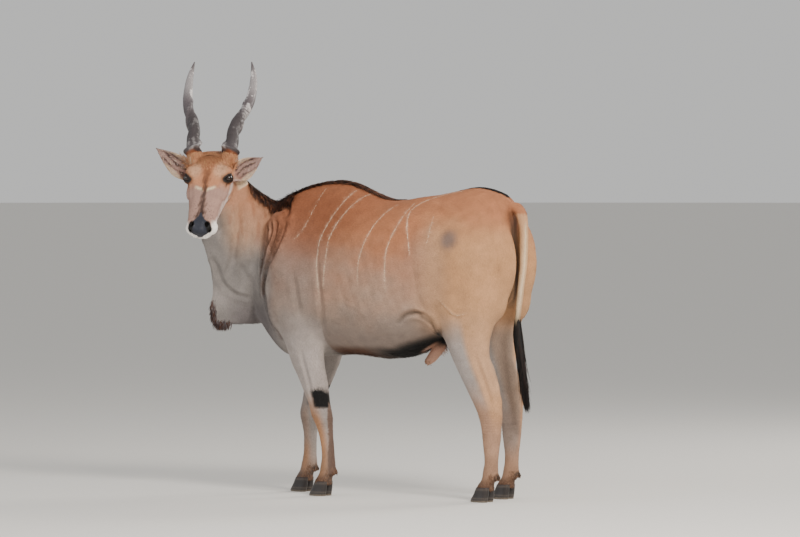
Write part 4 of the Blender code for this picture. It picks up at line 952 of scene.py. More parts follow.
def head_colour(points, base):
    """The face: brow, chevron, blaze, cheeks, muzzle, nose and lids."""
    along, left, crown = head_shares(points).T
    side = np.abs(left)
    own = headness(points)
    soft = 0.012 * waves(points, 0.06, 25) + 0.006 * waves(points, 0.02, 26)
    brow_end = 0.262 - 0.55 * (side - 0.01)
    brow = ramp(brow_end + 0.012 + 0.25 * side, brow_end - 0.012 - 0.15 * side,
                along + soft * 0.6)
    face = np.tile(COAT["face_grey"], (len(along), 1))
    face = blend(face, "rufous", brow * ramp(-0.02, 0.03, crown + soft))
    face = blend(face, "tawny", 0.5 * ramp(0.18, 0.05, along) * ramp(-0.03, 0.01, crown))
    face = blend(face, "cheek", 0.85 * ramp(0.012, -0.045, crown + soft) * ramp(0.06, 0.18, along))
    face = blend(face, "fawn", 0.85 * ramp(-0.02, -0.07, crown) * ramp(0.27, 0.15, along))
    face = blend(face, "white", 0.35 * ramp(-0.035, -0.085, crown) * ramp(0.26, 0.34, along))
    face = blend(face, "tawny", 0.70 * ramp(-0.030, -0.070, crown) * ramp(0.24, 0.16, along))
    aside = np.stack([along, side, crown], axis=1)
    ridge = patch(aside, (0.135, 0.066, 0.075), (0.050, 0.034, 0.05), 0.6)
    face = blend(face, "cream", 0.26 * ridge)
    middle = ramp(1.0, 0.2, side / np.interp(along, (0.05, 0.12, 0.24), (0.055, 0.045, 0.020)))
    face = blend(face, "rust", 0.55 * middle * ramp(0.27, 0.20, along) * ramp(0.0, 0.03, crown))
    chevron = np.exp(-(((along - brow_end - 0.006) / 0.008) ** 2))
    chevron *= ramp(0.006, 0.012, side) * ramp(0.062, 0.040, side) * ramp(0.01, 0.03, crown)
    face = blend(face, "cream", chevron)
    half = np.interp(along, (0.13, 0.20, 0.26, 0.33, 0.39, 0.43),
                     (0.016, 0.014, 0.009, 0.012, 0.012, 0.022))
    hairs = 0.8 * waves(points @ np.array(HEAD_TURN) * (0.25, 1, 1), 0.010, 36)
    blaze = ramp(2.1, 0.1, side / half + soft * 18 + hairs) * ramp(0.10, 0.17, along)
    blaze *= ramp(0.0, 0.03, crown)
    darkness = np.interp(along, (0.13, 0.21, 0.26, 0.34, 0.41), (0.25, 0.62, 0.82, 0.85, 0.97))
    face = blend(face, "dark_brown", darkness * blaze)
    freckled = waves(points, 0.018, 29) * ramp(0.30, 0.10, along) * ramp(0.0, 0.04, crown)
    face = blend(face, "brown", 0.28 * ramp(0.1, 0.9, freckled + 0.4 * waves(points, 0.05, 30)))
    poll = patch(np.stack([along, left, crown], 1), (0.03, 0, 0.08), (0.06, 0.06, 0.05), 0.5)
    face = blend(face, "rust", 0.4 * poll)
    muzzle = ramp(0.385, 0.425, along + soft)
    muzzle = muzzle * ramp(0.012, -0.012, crown - 0.020 * ramp(0.42, 0.45, along))
    face = blend(face, "muzzle", 0.95 * muzzle)
    face = blend(face, "muzzle", 0.9 * ramp(0.36, 0.40, along) * ramp(-0.045, -0.06, crown))
    face = blend(face, "nose", nose_pad(points))
    # Painted shade: black laid in and round the nostril openings.
    between = (np.array(NOSTRIL_TOP[0]) + np.array(NOSTRIL_END[0])) / 2
    for centre in (NOSTRIL_TOP[0], between, NOSTRIL_END[0]):
        face = blend(face, "black", patch(aside, centre, (0.021, 0.0155, 0.019), 0.2))
    for sign in (-1, 1):
        fore, up, out = eye_shares(points, sign)
        ring = lid_ring(fore, up)
        front = (out > 0) & (out < 0.06)
        face = blend(face, "brown", 0.55 * front * ramp(2.3, 1.4, ring))
        face = blend(face, "black", 0.97 * front * ramp(1.60, 1.25, ring))
        tear = line_mark(points, to_body([(a, sign * b, c) for a, b, c in TEAR_LINE]), 0.006)
        face = blend(face, "dark_brown", 0.9 * tear)
    draw = np.random.default_rng(7)
    places = draw.uniform(0.33, 0.44, FRECKLES), draw.uniform(0.022, 0.064, FRECKLES)
    for a, b in zip(*places):
        inside = (along - a) ** 2 + (side - b) ** 2 < FRECKLE_RADIUS**2
        face = blend(face, "dark_brown", 0.6 * inside * (crown > 0.0))
    return base + (face - base) * own[:, None]


def ear_shares(points, name):
    """How far along, across and out of an ear places are, and how much they are on it."""
    root = np.array(on_side(EAR_PLACE, SIDES[name]))
    along, wide, deep = ((points - root) @ np.array(way) for way in ear_turns(name))
    own = ramp(0.022, 0.045, along) * (np.abs(wide) < 0.08) * (np.abs(deep) < 0.09)
    return along, wide, deep, own * (along < 0.26)


def ear_colour(points, normals, base):
    """Pale backs of the ears and dark bands inside them."""
    for name in SIDES:
        along, wide, _, own = ear_shares(points, name)
        inner = own * ramp(-0.1, 0.35, normals @ np.array(ear_turns(name)[2]))
        shade = np.tile(COAT["fawn"], (len(along), 1))
        shade = blend(shade, "pale_grey", 0.6 * ramp(0.05, 0.2, along))
        shade = blend(shade, "ear_inside", inner * ramp(0.046, 0.034, np.abs(wide)) * 0.85)
        shade = blend(shade, "pink", 0.45 * inner * ramp(0.10, 0.04, along))
        ragged = 1.9 * waves(points, 0.050, 44) + 0.8 * waves(points, 0.016, 45)
        stripes = ramp(-0.1, 0.8, np.sin(wide * 230 + 0.9 + ragged))
        stripes = stripes * ramp(0.034, 0.022, np.abs(wide))
        shade = blend(shade, "ear_dark", 0.85 * inner * stripes * ramp(0.03, 0.06, along)
                      * ramp(0.21, 0.17, along))
        shade = blend(shade, "cream", 0.6 * own * ramp(0.030, 0.042, np.abs(wide)))
        shade = blend(shade, "dark_brown", 0.7 * own * ramp(0.236, 0.245, along))
        base = base + (shade - base) * own[:, None]
    return base


def eye_shares(points, side):
    """Where places are in the frame of one eye: fore and aft, up, and out along its gaze."""
    eye = np.array(on_side(EYE_PLACE, side))
    return ((points - eye) @ np.array(gaze_turn(side))).T


def lid_ring(fore, up):
    """How far out a place is round an eye, where 1 is the rim of the lids."""
    return np.sqrt((fore / 0.0262) ** 2 + (up / 0.0158) ** 2)


def nose_pad(points):
    """1 on the bare pad between and round the nostrils."""
    along, left, crown = head_shares(points).T
    half = np.interp(along, (0.408, 0.430, 0.450, 0.465, 0.485),
                     (0.002, 0.012, 0.024, 0.042, 0.050))
    half = np.minimum(half, np.interp(crown, (-0.040, -0.022, 0.004), (0.006, 0.018, 0.060)))
    inside = ramp(half + 0.003, half - 0.003, np.abs(left)) * (along > 0.408)
    return inside * ramp(-0.036, -0.030, crown)


def bareness(points):
    """1 where the skin has no hair: nose pad, lids and sheath."""
    sheath = patch(points, (0.185, 0, 0.705), (0.075, 0.045, 0.055), 0.3)
    found = np.maximum(nose_pad(points), sheath)
    for side in (-1, 1):
        fore, up, out = eye_shares(points, side)
        ring = lid_ring(fore, up)
        found = np.maximum(found, (out > 0) * ramp(1.45, 1.2, ring) * (np.abs(out) < 0.05))
    return found


def tail_colour(points, base):
    """A sandy tail with pale edges that turns black at its end."""
    x, y, z = points.T
    rows = smooth_rows(TAIL, 4)
    order = np.argsort(rows[:, 2])
    middle = np.interp(z, rows[order, 2], rows[order, 0])
    own = ((x - middle) ** 2 + y**2 < 0.036**2) & (z < 1.42) & (x > 0.63)
    shade = blend(np.tile(COAT["sand"], (len(x), 1)), "cream", np.full(len(x), 0.30))
    shade = blend(shade, "grey", 0.30 * ramp(1.2, 0.95, z))
    shade = blend(shade, "tawny", 0.4 * ramp(1.20, 1.42, z))
    edges = np.exp(-(((np.abs(y) - 0.013) / 0.0045) ** 2))
    shade = blend(shade, "cream", 0.75 * edges * ramp(1.40, 1.34, z))
    # Painted shade: the side of the tail that faces the rump is darker.
    shade = blend(shade, "brown", 0.22 * (x < middle - 0.008))
    shade = blend(shade, "black", ramp(0.95, 0.86, z))
    return np.where(own[:, None], shade, base)


def crest_share(points):
    """How much of the dark crest covers a place on the top of neck and hump."""
    line = crest_line(0.0, 0.86, 40)
    found = np.zeros(len(points))
    chosen, away, share = on_path(points, line, 0.12)
    wide = np.interp(share, (0, 0.25, 0.45, 0.6, 1.0), (0.035, 0.055, 0.032, 0.024, 0.016))
    found[chosen] = (1 - ramp(0.7, 1.25, away / wide)) * ramp(1.0, 0.96, share)
    return found


def top_line(x):
    """The height of the back at a distance along it."""
    rows = smooth_rows(TRUNK, 6)
    return float(np.interp(x, rows[:, 0], rows[:, 1]))


def crest_line(start, end, count):
    """Points along the crest, from the poll over the neck and hump to the loins."""
    line = []
    for row, after in zip(NECK[4:1:-1], NECK[5:2:-1]):
        way = (Vector(after[:3]) - Vector(row[:3])).normalized()
        side = UPRIGHT.cross(way).normalized()
        line.append(Vector(row[:3]) + way.cross(side) * row[3])
    line += [Vector((x / 100, 0, top_line(x / 100))) for x in range(-72, 12, 6)]
    smooth = smooth_rows([tuple(point) for point in line], 6)
    places = np.linspace(start, end, count) * (len(smooth) - 1)
    return np.stack([np.interp(places, np.arange(len(smooth)), smooth[:, i]) for i in range(3)], 1)


def coat_colour(points, normals):
    """The coat's colour, linear, at places on the hide."""
    base = body_colour(points)
    legs = ramp(1.02, 0.80, points[:, 2]) * ((points[:, 0] > 0.36) | (points[:, 0] < -0.33))
    base = base + (leg_colour(points, base) - base) * legs[:, None]
    base = neck_colour(points, base)
    base = blend(base, "dark_brown", 0.92 * crest_share(points))
    sheath = patch(points, (0.20, 0, 0.715), (0.085, 0.045, 0.062), 0.3)
    base = blend(base, "sheath", sheath)
    base = head_colour(points, base)
    base = ear_colour(points, normals, base)
    base = tail_colour(points, base)
    mottle = 1 + 0.07 * waves(points, 0.06, 27) + 0.06 * waves(points, 0.014, 28)
    return np.clip(base * mottle[:, None], 0, 1)


def store_colour(piece, colours):
    """Keeps a colour at each corner of a mesh."""
    layer = piece.data.color_attributes.new("coat", "FLOAT_COLOR", "POINT")
    values = np.concatenate([colours, np.ones((len(colours), 1))], axis=1)
    layer.data.foreach_set("color", values.astype(np.float32).ravel())


store_colour(skin, coat_colour(corners(skin), normals_of(skin)))

# %% [markdown]
# The finishes are drawn with nodes. Colour that belongs to a place on the animal comes from
# the stored colour; what repeats, such as hair grain, pores and growth lines, is drawn by
# noise on Object coordinates, whose unit is the metre, so a scale of 400 is 2.5 mm.

# %% A helper that adds a node
def add_node(tree, kind, inputs=None, **settings):
    """Adds a node with its settings, and its inputs as numbers or links."""
    made = tree.nodes.new(kind)
    for name, value in settings.items():
        setattr(made, name, value)
    for name, value in (inputs or {}).items():
        if isinstance(value, bpy.types.NodeSocket):
            tree.links.new(value, made.inputs[name])
        else:
            made.inputs[name].default_value = value
    return made


def start_finish(name):
    """A new material, its node tree and its Principled shader."""
    made = bpy.data.materials.new(name)
    made.use_nodes = True
    tree = made.node_tree
    return made, tree, tree.nodes["Principled BSDF"]


def grain(tree, scale, size, detail=2.0):
    """Noise on Object coordinates, stretched by three scales."""
    place = add_node(tree, "ShaderNodeTexCoord")
    turned = add_node(tree, "ShaderNodeMapping",
                      {"Vector": place.outputs["Object"], "Scale": scale})
    return add_node(tree, "ShaderNodeTexNoise",
                    {"Vector": turned.outputs["Vector"], "Scale": size, "Detail": detail})


def mixed(tree, factor, a, b, kind="FLOAT"):
    """One output between two values or colours."""
    node = tree.nodes.new("ShaderNodeMix")
    node.data_type = kind
    sockets = [s for s in node.inputs if s.enabled]
    for socket, value in zip(sockets, (factor, a, b)):
        if isinstance(value, bpy.types.NodeSocket):
            tree.links.new(value, socket)
        else:
            socket.default_value = value
    return next(s for s in node.outputs if s.enabled)


def curve_value(tree, value, low, high, to_low, to_high):
    """Moves values between low and high to values between the other two."""
    return add_node(tree, "ShaderNodeMapRange", {
        "Value": value, "From Min": low, "From Max": high, "To Min": to_low, "To Max": to_high,
    }).outputs["Result"]


def tone_coat(tree, shader, tone):
    """The colour kept at each corner of the mesh, times a tone, is the finish's colour."""
    coat = add_node(tree, "ShaderNodeAttribute", attribute_name="coat")
    toned = add_node(tree, "ShaderNodeVectorMath", {0: coat.outputs["Color"], "Scale": tone},
                     operation="SCALE")
    tree.links.new(toned.outputs["Vector"], shader.inputs["Base Color"])


def add_bump(tree, shader, strength, distance, height):
    """Fine relief that the light sees and the mesh does not have."""
    bump = add_node(tree, "ShaderNodeBump",
                    {"Strength": strength, "Distance": distance, "Height": height})
    tree.links.new(bump.outputs["Normal"], shader.inputs["Normal"])


# %% Short hair over skin: a dry, soft finish whose grain follows the lie of the hair
hide_finish, tree, shader = start_finish("short_hair_over_skin")
hung = add_node(tree, "ShaderNodeAttribute", attribute_name="hanging")
smooth_skin = add_node(tree, "ShaderNodeAttribute", attribute_name="bare")
lying = grain(tree, (0.16, 1.0, 0.75), 620, 3.0)
falling = grain(tree, (1.0, 1.0, 0.16), 620, 3.0)
hair = mixed(tree, hung.outputs["Fac"], lying.outputs["Fac"], falling.outputs["Fac"])
pores = grain(tree, (1.0, 1.0, 1.0), 900, 1.0)
surface = mixed(tree, smooth_skin.outputs["Fac"], hair, pores.outputs["Fac"])
tufted = curve_value(tree, hair, 0.30, 0.70, 0.74, 1.20)
patchy = curve_value(tree, grain(tree, (1, 1, 1), 14, 3.0).outputs["Fac"], 0.3, 0.7, 0.92, 1.07)
strength = add_node(tree, "ShaderNodeMath", {0: tufted, 1: patchy}, operation="MULTIPLY")
tone_coat(tree, shader, strength.outputs[0])
rough = mixed(tree, smooth_skin.outputs["Fac"], 0.86, 0.42)
tree.links.new(rough, shader.inputs["Roughness"])
add_bump(tree, shader, 0.55, 0.0012, surface)
shader.inputs["Specular IOR Level"].default_value = 0.30

# %% Hair: keratin strands with a dull shine, a little lighter where they catch dust
hair_finish, tree, shader = start_finish("keratin_hair")
strands = curve_value(tree, grain(tree, (1, 1, 1), 260, 2.0).outputs["Fac"], 0.3, 0.7, 0.84, 1.14)
tone_coat(tree, shader, strands)
shader.inputs["Roughness"].default_value = 0.68
shader.inputs["Specular IOR Level"].default_value = 0.32

# %% Horn: ridged keratin, with a painted highlight on the keel and painted shade in the grooves
horn_finish, tree, shader = start_finish("horn_keratin_wear_and_painted_light")
fibres = grain(tree, (1.0, 1.0, 0.22), 330, 4.0)
worn = grain(tree, (1, 1, 1), 60, 3.0)
tone = curve_value(tree, fibres.outputs["Fac"], 0.3, 0.7, 0.78, 1.18)
tone_coat(tree, shader, tone)
rough = curve_value(tree, worn.outputs["Fac"], 0.35, 0.65, 0.38, 0.66)
tree.links.new(rough, shader.inputs["Roughness"])
add_bump(tree, shader, 0.5, 0.0010, fibres.outputs["Fac"])

# %% Hoof: dense dark keratin with growth rings, scuffed and dusty at the edge
hoof_finish, tree, shader = start_finish("hoof_keratin")
scuffs = grain(tree, (1, 1, 0.3), 240, 4.0)
tone = curve_value(tree, scuffs.outputs["Fac"], 0.3, 0.7, 0.7, 1.35)
tone_coat(tree, shader, tone)
rough = curve_value(tree, scuffs.outputs["Fac"], 0.35, 0.65, 0.40, 0.62)
tree.links.new(rough, shader.inputs["Roughness"])
add_bump(tree, shader, 0.4, 0.0008, scuffs.outputs["Fac"])

# %% Eye: a wet clear cornea over a very dark brown iris
eye_finish, tree, shader = start_finish("wet_cornea")
threads = grain(tree, (1, 1, 1), 900, 3.0)
tone = curve_value(tree, threads.outputs["Fac"], 0.3, 0.7, 0.7, 1.3)
tone_coat(tree, shader, tone)
shader.inputs["Roughness"].default_value = 0.16
shader.inputs["Coat Weight"].default_value = 0.5
shader.inputs["Coat Roughness"].default_value = 0.02
shader.inputs["IOR"].default_value = 1.38

# %% Studio paper: matt, with a faint tooth
paper_finish, tree, shader = start_finish("matt_studio_paper")
tooth = grain(tree, (1, 1, 1), 30, 3.0)
shade = mixed(tree, tooth.outputs["Fac"], (*linear("#D6D3CE"), 1), (*linear("#DEDBD6"), 1), "RGBA")
tree.links.new(shade, shader.inputs["Base Color"])
shader.inputs["Roughness"].default_value = 0.9

# %% [markdown]
# Fur is made of solid tufts here, because particle hair does not leave Blender with the
# model. A tuft is a flat, three-sided spike that follows the lie of the coat. Thousands of
# them are one mesh, written from arrays of corners and faces. Each keeps its colour and its
# place on the skin's own unwrapping, so that the coat carries the skin's markings.

# %% Unwrap the skin and read it once
use(skin)
bpy.ops.object.mode_set(mode="EDIT")
bpy.ops.mesh.select_all(action="SELECT")
bpy.ops.uv.smart_project(angle_limit=math.radians(66), island_margin=0.001)
bpy.ops.object.mode_set(mode="OBJECT")
skin.data.uv_layers.active.name = "OFBake"
skin.data.calc_loop_triangles()
triangles = skin.data.loop_triangles
spots = np.empty(len(triangles) * 3, np.int32)
triangles.foreach_get("vertices", spots)
loops = np.empty(len(triangles) * 3, np.int32)
triangles.foreach_get("loops", loops)
chart = np.empty(len(skin.data.loops) * 2, np.float32)
skin.data.uv_layers["OFBake"].data.foreach_get("uv", chart)
spots, loops, chart = spots.reshape(-1, 3), loops.reshape(-1, 3), chart.reshape(-1, 2)
# The Boolean solver lists its faces in no fixed order. They are sorted here by their
# corners, so that a seeded draw picks the same places in every run.
turns = (spots.argmin(axis=1)[:, None] + np.arange(3)) % 3
spots, loops = np.take_along_axis(spots, turns, 1), np.take_along_axis(loops, turns, 1)
order = np.lexsort(spots.T[::-1])
spots, loops = spots[order], loops[order]
hide, outward = corners(skin), normals_of(skin)
middles = hide[spots].mean(axis=1)
facing = outward[spots].mean(axis=1)
areas = np.linalg.norm(np.cross(hide[spots[:, 1]] - hide[spots[:, 0]],
                                hide[spots[:, 2]] - hide[spots[:, 0]]), axis=1) / 2
print("hide", round(areas.sum(), 2), "square metres")


# %% Sow roots and grow tufts from them
def unit(rows):
    """The rows as vectors of length 1."""
    return rows / np.maximum(np.linalg.norm(rows, axis=1, keepdims=True), 1e-9)


def sow(count, weights, seed):
    """Roots spread over the skin by area and weight: places, normals, map places."""
    draw = np.random.default_rng(seed)
    share = areas * np.clip(weights, 0, None)
    picked = draw.choice(len(share), count, p=share / share.sum())
    across = np.sqrt(draw.random(count))
    up = draw.random(count)
    parts = np.stack([1 - across, across * (1 - up), across * up], axis=1)[:, :, None]
    return ((hide[spots[picked]] * parts).sum(axis=1),
            unit((outward[spots[picked]] * parts).sum(axis=1)),
            (chart[loops[picked]] * parts).sum(axis=1))


def tinted(count, names, seed):
    """A hair colour for each tuft, drawn between the named ones."""
    draw = np.random.default_rng(seed)
    pool = np.stack([COAT[name] for name in names])
    place = draw.random(count) * (len(pool) - 1)
    low = np.minimum(place.astype(int), len(pool) - 2)
    part = (place - low)[:, None]
    return pool[low] * (1 - part) + pool[low + 1] * part


def one_way(roots, *way):
    """The same way for every root."""
    return np.tile(way, (len(roots[0]), 1))


# The side of a tuft's patch on the skin's map, how high its ridge stands over its edges, as
# a share of half its width, and how much lighter or darker than its colour a tuft may be.
TUFT_PATCH = 0.003
RIDGE = 0.45
TUFT_LIGHT = (0.93, 1.06)


def grow(name, roots, ways, length, width, lift=0.2, hang=0.0, stray=0.12, curl=0.10, rings=2,
         tint=None, tint_seed=None, slot="hide_tan", seed=SEED):
    """One mesh of tapered tufts that rise by lift, hang by hang and follow the ways.

    Each tuft has the coat's colour at its root, or one between the colours that tint names.
    """
    places, out, charts = roots
    count = len(places)
    draw = np.random.default_rng(seed)
    length = length * draw.uniform(0.70, 1.25, count)
    width = width * draw.uniform(0.75, 1.25, count)
    ways = unit(ways) + draw.normal(size=(count, 3)) * stray
    lie = ways - out * (ways * out).sum(axis=1, keepdims=True)
    length = length * np.clip(1.8 * np.linalg.norm(lie, axis=1), 0.35, 1)
    sink = np.minimum(0.0012, 0.045 * length)
    lie = unit(lie)
    across = np.cross(out, lie)
    curl = draw.normal(size=count) * curl
    down = np.array([0, 0, -1.0])
    points, shares = [], []
    for i in range(rings + 1):
        t = i / rings
        spine = (places - out * sink[:, None] + lie * (length * t)[:, None]
                 + out * (length * lift * t * (1 - 0.55 * t))[:, None]
                 + across * (length * curl * t * t)[:, None]
                 + down * (length * hang * t * t)[:, None])
        if i == rings:
            points.append(spine)
            shares.append(1.0)
            continue
        half = width * (1 - 0.55 * t * t) / 2
        points += [spine + across * half[:, None], spine + out * (half * RIDGE)[:, None],
                   spine - across * half[:, None]]
        shares += [t] * 3
    points = np.stack(points, axis=1) + np.array(HOME)
    per = points.shape[1]
    faces = [(2, 1, 0)]
    for i in range(rings - 1):
        for a, b in ((0, 1), (1, 2), (2, 0)):
            low, high = i * 3, i * 3 + 3
            faces += [(low + a, low + b, high + b), (low + a, high + b, high + a)]
    last = rings * 3 - 3
    faces += [(last, last + 1, per - 1), (last + 1, last + 2, per - 1), (last + 2, last, per - 1)]
    faces = (np.array(faces)[None] + (np.arange(count) * per)[:, None, None]).reshape(-1)
    mesh = bpy.data.meshes.new(name)
    mesh.vertices.add(count * per)
    mesh.vertices.foreach_set("co", points.astype(np.float32).ravel())
    mesh.loops.add(len(faces))
    mesh.loops.foreach_set("vertex_index", faces.astype(np.int32))
    mesh.polygons.add(len(faces) // 3)
    mesh.polygons.foreach_set("loop_start", np.arange(0, len(faces), 3, dtype=np.int32))
    mesh.polygons.foreach_set("use_smooth", np.ones(len(faces) // 3, bool))
    mesh.update(calc_edges=True)
    ends = np.empty(len(mesh.edges) * 2, np.int32)
    mesh.edges.foreach_get("vertices", ends)
    ends = ends.reshape(-1, 2) % per
    low, high = ends.min(axis=1), ends.max(axis=1)
    under = ((high - low == 3) | (high == per - 1)) & (low % 3 != 1)
    creased = mesh.attributes.new("sharp_edge", "BOOLEAN", "EDGE")
    creased.data.foreach_set("value", under | (high < 3))
    shares = np.array(shares)
    if tint:
        colour = tinted(count, tint, tint_seed or seed - 1)
    else:
        colour = coat_colour(places, out)
    shade = draw.uniform(*TUFT_LIGHT, count)[:, None] * (0.94 + 0.08 * shares)[None]
    colours = colour[:, None, :] * shade[:, :, None]
    aside = np.tile([-1, 0, 1], rings).tolist() + [0]
    spread = np.stack([np.array(aside) * TUFT_PATCH / 2, shares * TUFT_PATCH], axis=1)
    maps = (charts[:, None, :] + spread[None]).reshape(-1, 2)[faces]
    layer = mesh.uv_layers.new(name="OFBake")
    layer.data.foreach_set("uv", maps.astype(np.float32).ravel())
    piece = bpy.data.objects.new(name, mesh)
    bpy.context.scene.collection.objects.link(piece)
    store_colour(piece, np.clip(colours.reshape(-1, 3), 0, 1))
    mesh.materials.append(hair_finish)
    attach(piece, "root")
    print(name, len(faces) // 3, "triangles")


# %% The lie of the coat
DOWN_BACK = (0.25, 0, -1.0)


def coat_ways(points):
    """Which way the hair lies: back along the trunk, down the legs, on from the brow."""
    x, y, z = points.T
    ways = np.tile([1.0, 0.0, -0.30], (len(points), 1))
    haunch = (ramp(0.30, 0.50, x) * ramp(1.45, 1.20, z))[:, None]
    ways = ways * (1 - haunch) + np.array(DOWN_BACK) * haunch
    ways[:, 2] -= 0.5 * ramp(1.15, 0.95, z)
    front = ramp(-0.58, -0.72, x)[:, None]
    ways = ways * (1 - front) + np.array([0.45, 0.25, -0.9]) * front
    low = ramp(0.88, 0.74, z)[:, None] * (np.abs(x) > 0.30)[:, None]
    ways = ways * (1 - low) + np.array([0.10, 0, -1.0]) * low
    on = headness(points)[:, None]
    left = head_shares(points)[:, 1:2]
    face = np.array(ALONG) * 0.8 - np.array(CROWN) * np.minimum(np.abs(left) * 9, 1)
    ways = ways * (1 - on) + face * on
    for name in SIDES:
        own = ear_shares(points, name)[3][:, None]
        ways = ways * (1 - own) + np.array(EAR_WAYS[name].normalized()) * own
    tail = (x > 0.64) & (np.abs(y) < 0.045) & (z < 1.42)
    tail &= x > np.interp(z, (0.6, 1.0, 1.4), (0.66, 0.655, 0.66))
    ways[tail] = (0, 0, -1)
    return ways + 0.14 * np.stack([waves(points, 0.16, 31), waves(points, 0.16, 32),
                                   waves(points, 0.16, 33)], axis=1)


# %% [markdown]
# The short coat covers the whole animal. It is longest on the neck, a little shorter on
# the trunk and shortest on the face and feet, and it lies flat, so the outline gets a soft
# edge and no more.

# %% The short coat
mx, my, mz = middles.T
head_part = headness(middles)
ear_part = np.maximum(ear_shares(middles, "left")[3], ear_shares(middles, "right")[3])
head_all = np.maximum(head_part, ear_part)
bare = bareness(middles)
furred = 1 - bare
mirror = np.stack([mx, -np.abs(my), mz], axis=1)
striped = np.zeros(len(middles))
for path, half_width, strength in FLANK_STRIPES:
    stripe = min(1, strength * 1.2) * line_mark(mirror, path, half_width * 1.3)
    striped = np.maximum(striped, stripe)
not_head = (head_all < 0.5) * furred
low_part = (mz < 0.80) & ~((mx < -0.70) & (mz > 0.6)) & (np.abs(mx) > 0.22)
tail_part = (mx > 0.66) & (np.abs(my) < 0.05) & (mz < 1.42)
trunk = not_head * (mx > -0.56) * ~low_part * ~tail_part * (1 - striped)
SHORT_TUFTS = 19800
# Name, where it grows, length and width of a tuft, and slot.
SHORT_COAT = (
    ("coat_trunk_left", trunk * (my < 0), 0.015, 0.0024, "hide_tan"),
    ("coat_trunk_right", trunk * (my >= 0), 0.015, 0.0024, "hide_tan"),
    ("coat_neck", not_head * (mx <= -0.56) * ~low_part, 0.017, 0.0024, "hide_grey"),
    ("coat_legs", not_head * (low_part | tail_part), 0.013, 0.0018, "hide_pale"),
    ("coat_head", (head_all >= 0.5) * furred * (1 + 0.5 * (mz > 1.5)), 0.0085, 0.0014, "face"),
)
for number, (name, where, length, width, slot) in enumerate(SHORT_COAT):
    roots = sow(SHORT_TUFTS, where, 40 + number)
    if name == "coat_legs":
        length = length * (1 - 0.45 * ramp(0.35, 0.15, roots[0][:, 2]))
    grow(name, roots, coat_ways(roots[0]), length, width, lift=0.15, stray=0.09, slot=slot,
         seed=50 + number)

# %% White hair along the flank stripes
STRIPE_STEP = 0.0021
STRIPE_LEAD = 0.012
draw = np.random.default_rng(58)
nearest = KDTree(len(middles))
for number, point in enumerate(middles):
    nearest.insert(point, number)
nearest.balance()
places, numbers, shown, leads = [], [], [], []
for side in (1, -1):
    for path, half_width, strength in FLANK_STRIPES:
        line = np.array(path) * (1, side, 1)
        steps = np.linalg.norm(np.diff(line, axis=0), axis=1)
        run = np.concatenate([[0], np.cumsum(steps)])
        for reach in np.arange(0, run[-1], STRIPE_STEP):
            chance = np.sin(np.pi * np.clip(reach / run[-1], 0.04, 0.96)) ** 0.4
            if draw.random() > chance * min(1, strength * 1.3):
                continue
            spot = np.array([np.interp(reach, run, line[:, i]) for i in range(3)])
            ahead = np.array([np.interp(reach + STRIPE_LEAD, run, line[:, i]) for i in range(3)])
            leads.append(ahead - spot + (1e-6, 0, -1e-4))
            spot = spot + draw.normal(size=3) * half_width * 0.32
            place, normal = skin.closest_point_on_mesh(Vector(spot))[1:3]
            places.append(place)
            shown.append(normal)
            numbers.append(nearest.find(place)[1])
places, shown = np.array(places), np.array(shown)
roots = (places, shown, chart[loops[numbers]].mean(axis=1))
ways = unit(np.array(leads)) * 2.6 + coat_ways(places)
grow("stripe_hair", roots, ways, 0.011, 0.0018, lift=0.10, stray=0.05,
     tint=("sand", "stripe", "cream", "stripe"), seed=60)

# %% [markdown]
# Long hair grows only in a few places: the dark mane that hangs on the near side of the
# neck, the crest over the hump, the brush between the horns, the tuft of the dewlap, the
# fringe of the belly, the hair in the ears and the black brush of the tail.

# %% Crest and mane
ridge_away, ridge_share = np.full(len(middles), 9.0), np.zeros(len(middles))
chosen, away, share = on_path(middles, crest_line(0.0, 0.92, 40), 0.14)
ridge_away[chosen], ridge_share[chosen] = away, share
top = ramp(0.034, 0.012, ridge_away) * (ridge_share > 0.24) * (head_part < 0.3)
roots = sow(4200, top, 61)
ways = one_way(roots, 1.0, 0.0, 0.10)
ways[:, 1] += np.sign(roots[0][:, 1]) * 0.25
fade = ramp(0.10, -0.15, roots[0][:, 0])
grow("crest", roots, ways, 0.026 + 0.022 * fade, 0.0030, lift=0.34, stray=0.22, rings=3,
     tint=("black", "dark_brown", "brown", "rust"), seed=63)

hanging = ramp(0.075, 0.035, ridge_away) * (ridge_share < 0.34) * (head_part < 0.5)
hanging = hanging * (1 + 1.5 * (facing[:, 1] < 0))
roots = sow(4200, hanging, 64)
ways = one_way(roots, 0.45, -0.55, -0.75)
ways[:, 1] *= np.where(roots[1][:, 1] > 0.45, -1.0, 1.0)
grow("mane", roots, ways, 0.070, 0.0036, lift=0.22, hang=0.10, stray=0.16, rings=4,
     tint=("black", "dark_brown", "dark_brown", "brown", "rust"), seed=66)

croup = ramp(1.0, 0.6, np.abs(my) / croup_width(mx))
croup *= ramp(0.32, 0.40, mx) * ramp(0.62, 0.58, mx) * (mz > 1.40)
roots = sow(1500, croup, 94)
grow("croup_crest", roots, one_way(roots, 1.0, 0, 0), 0.022, 0.0026, lift=0.30, stray=0.2,
     tint=("black", "dark_brown", "black"), seed=96)

# %% Brush between the horns
along, left, crown = head_shares(middles).T
brow = ramp(-0.020, 0.0, along) * ramp(0.150, 0.030, along) * ramp(0.056, 0.010, np.abs(left))
brow = brow * (crown > 0.045)
roots = sow(2400, brow, 67)
where = head_shares(roots[0])
ways = np.array(ALONG) * 0.9 + np.array(HEAD_LEFT) * (where[:, 1:2] * 14) + np.array(CROWN) * 0.2
short = 0.034 - 0.018 * ramp(0.03, 0.12, where[:, 0])
grow("forehead_brush", roots, ways, short, 0.0022, lift=0.42, stray=0.30, rings=3,
     tint=("rufous", "tawny", "rufous", "sand", "rust"), slot="face", seed=69)

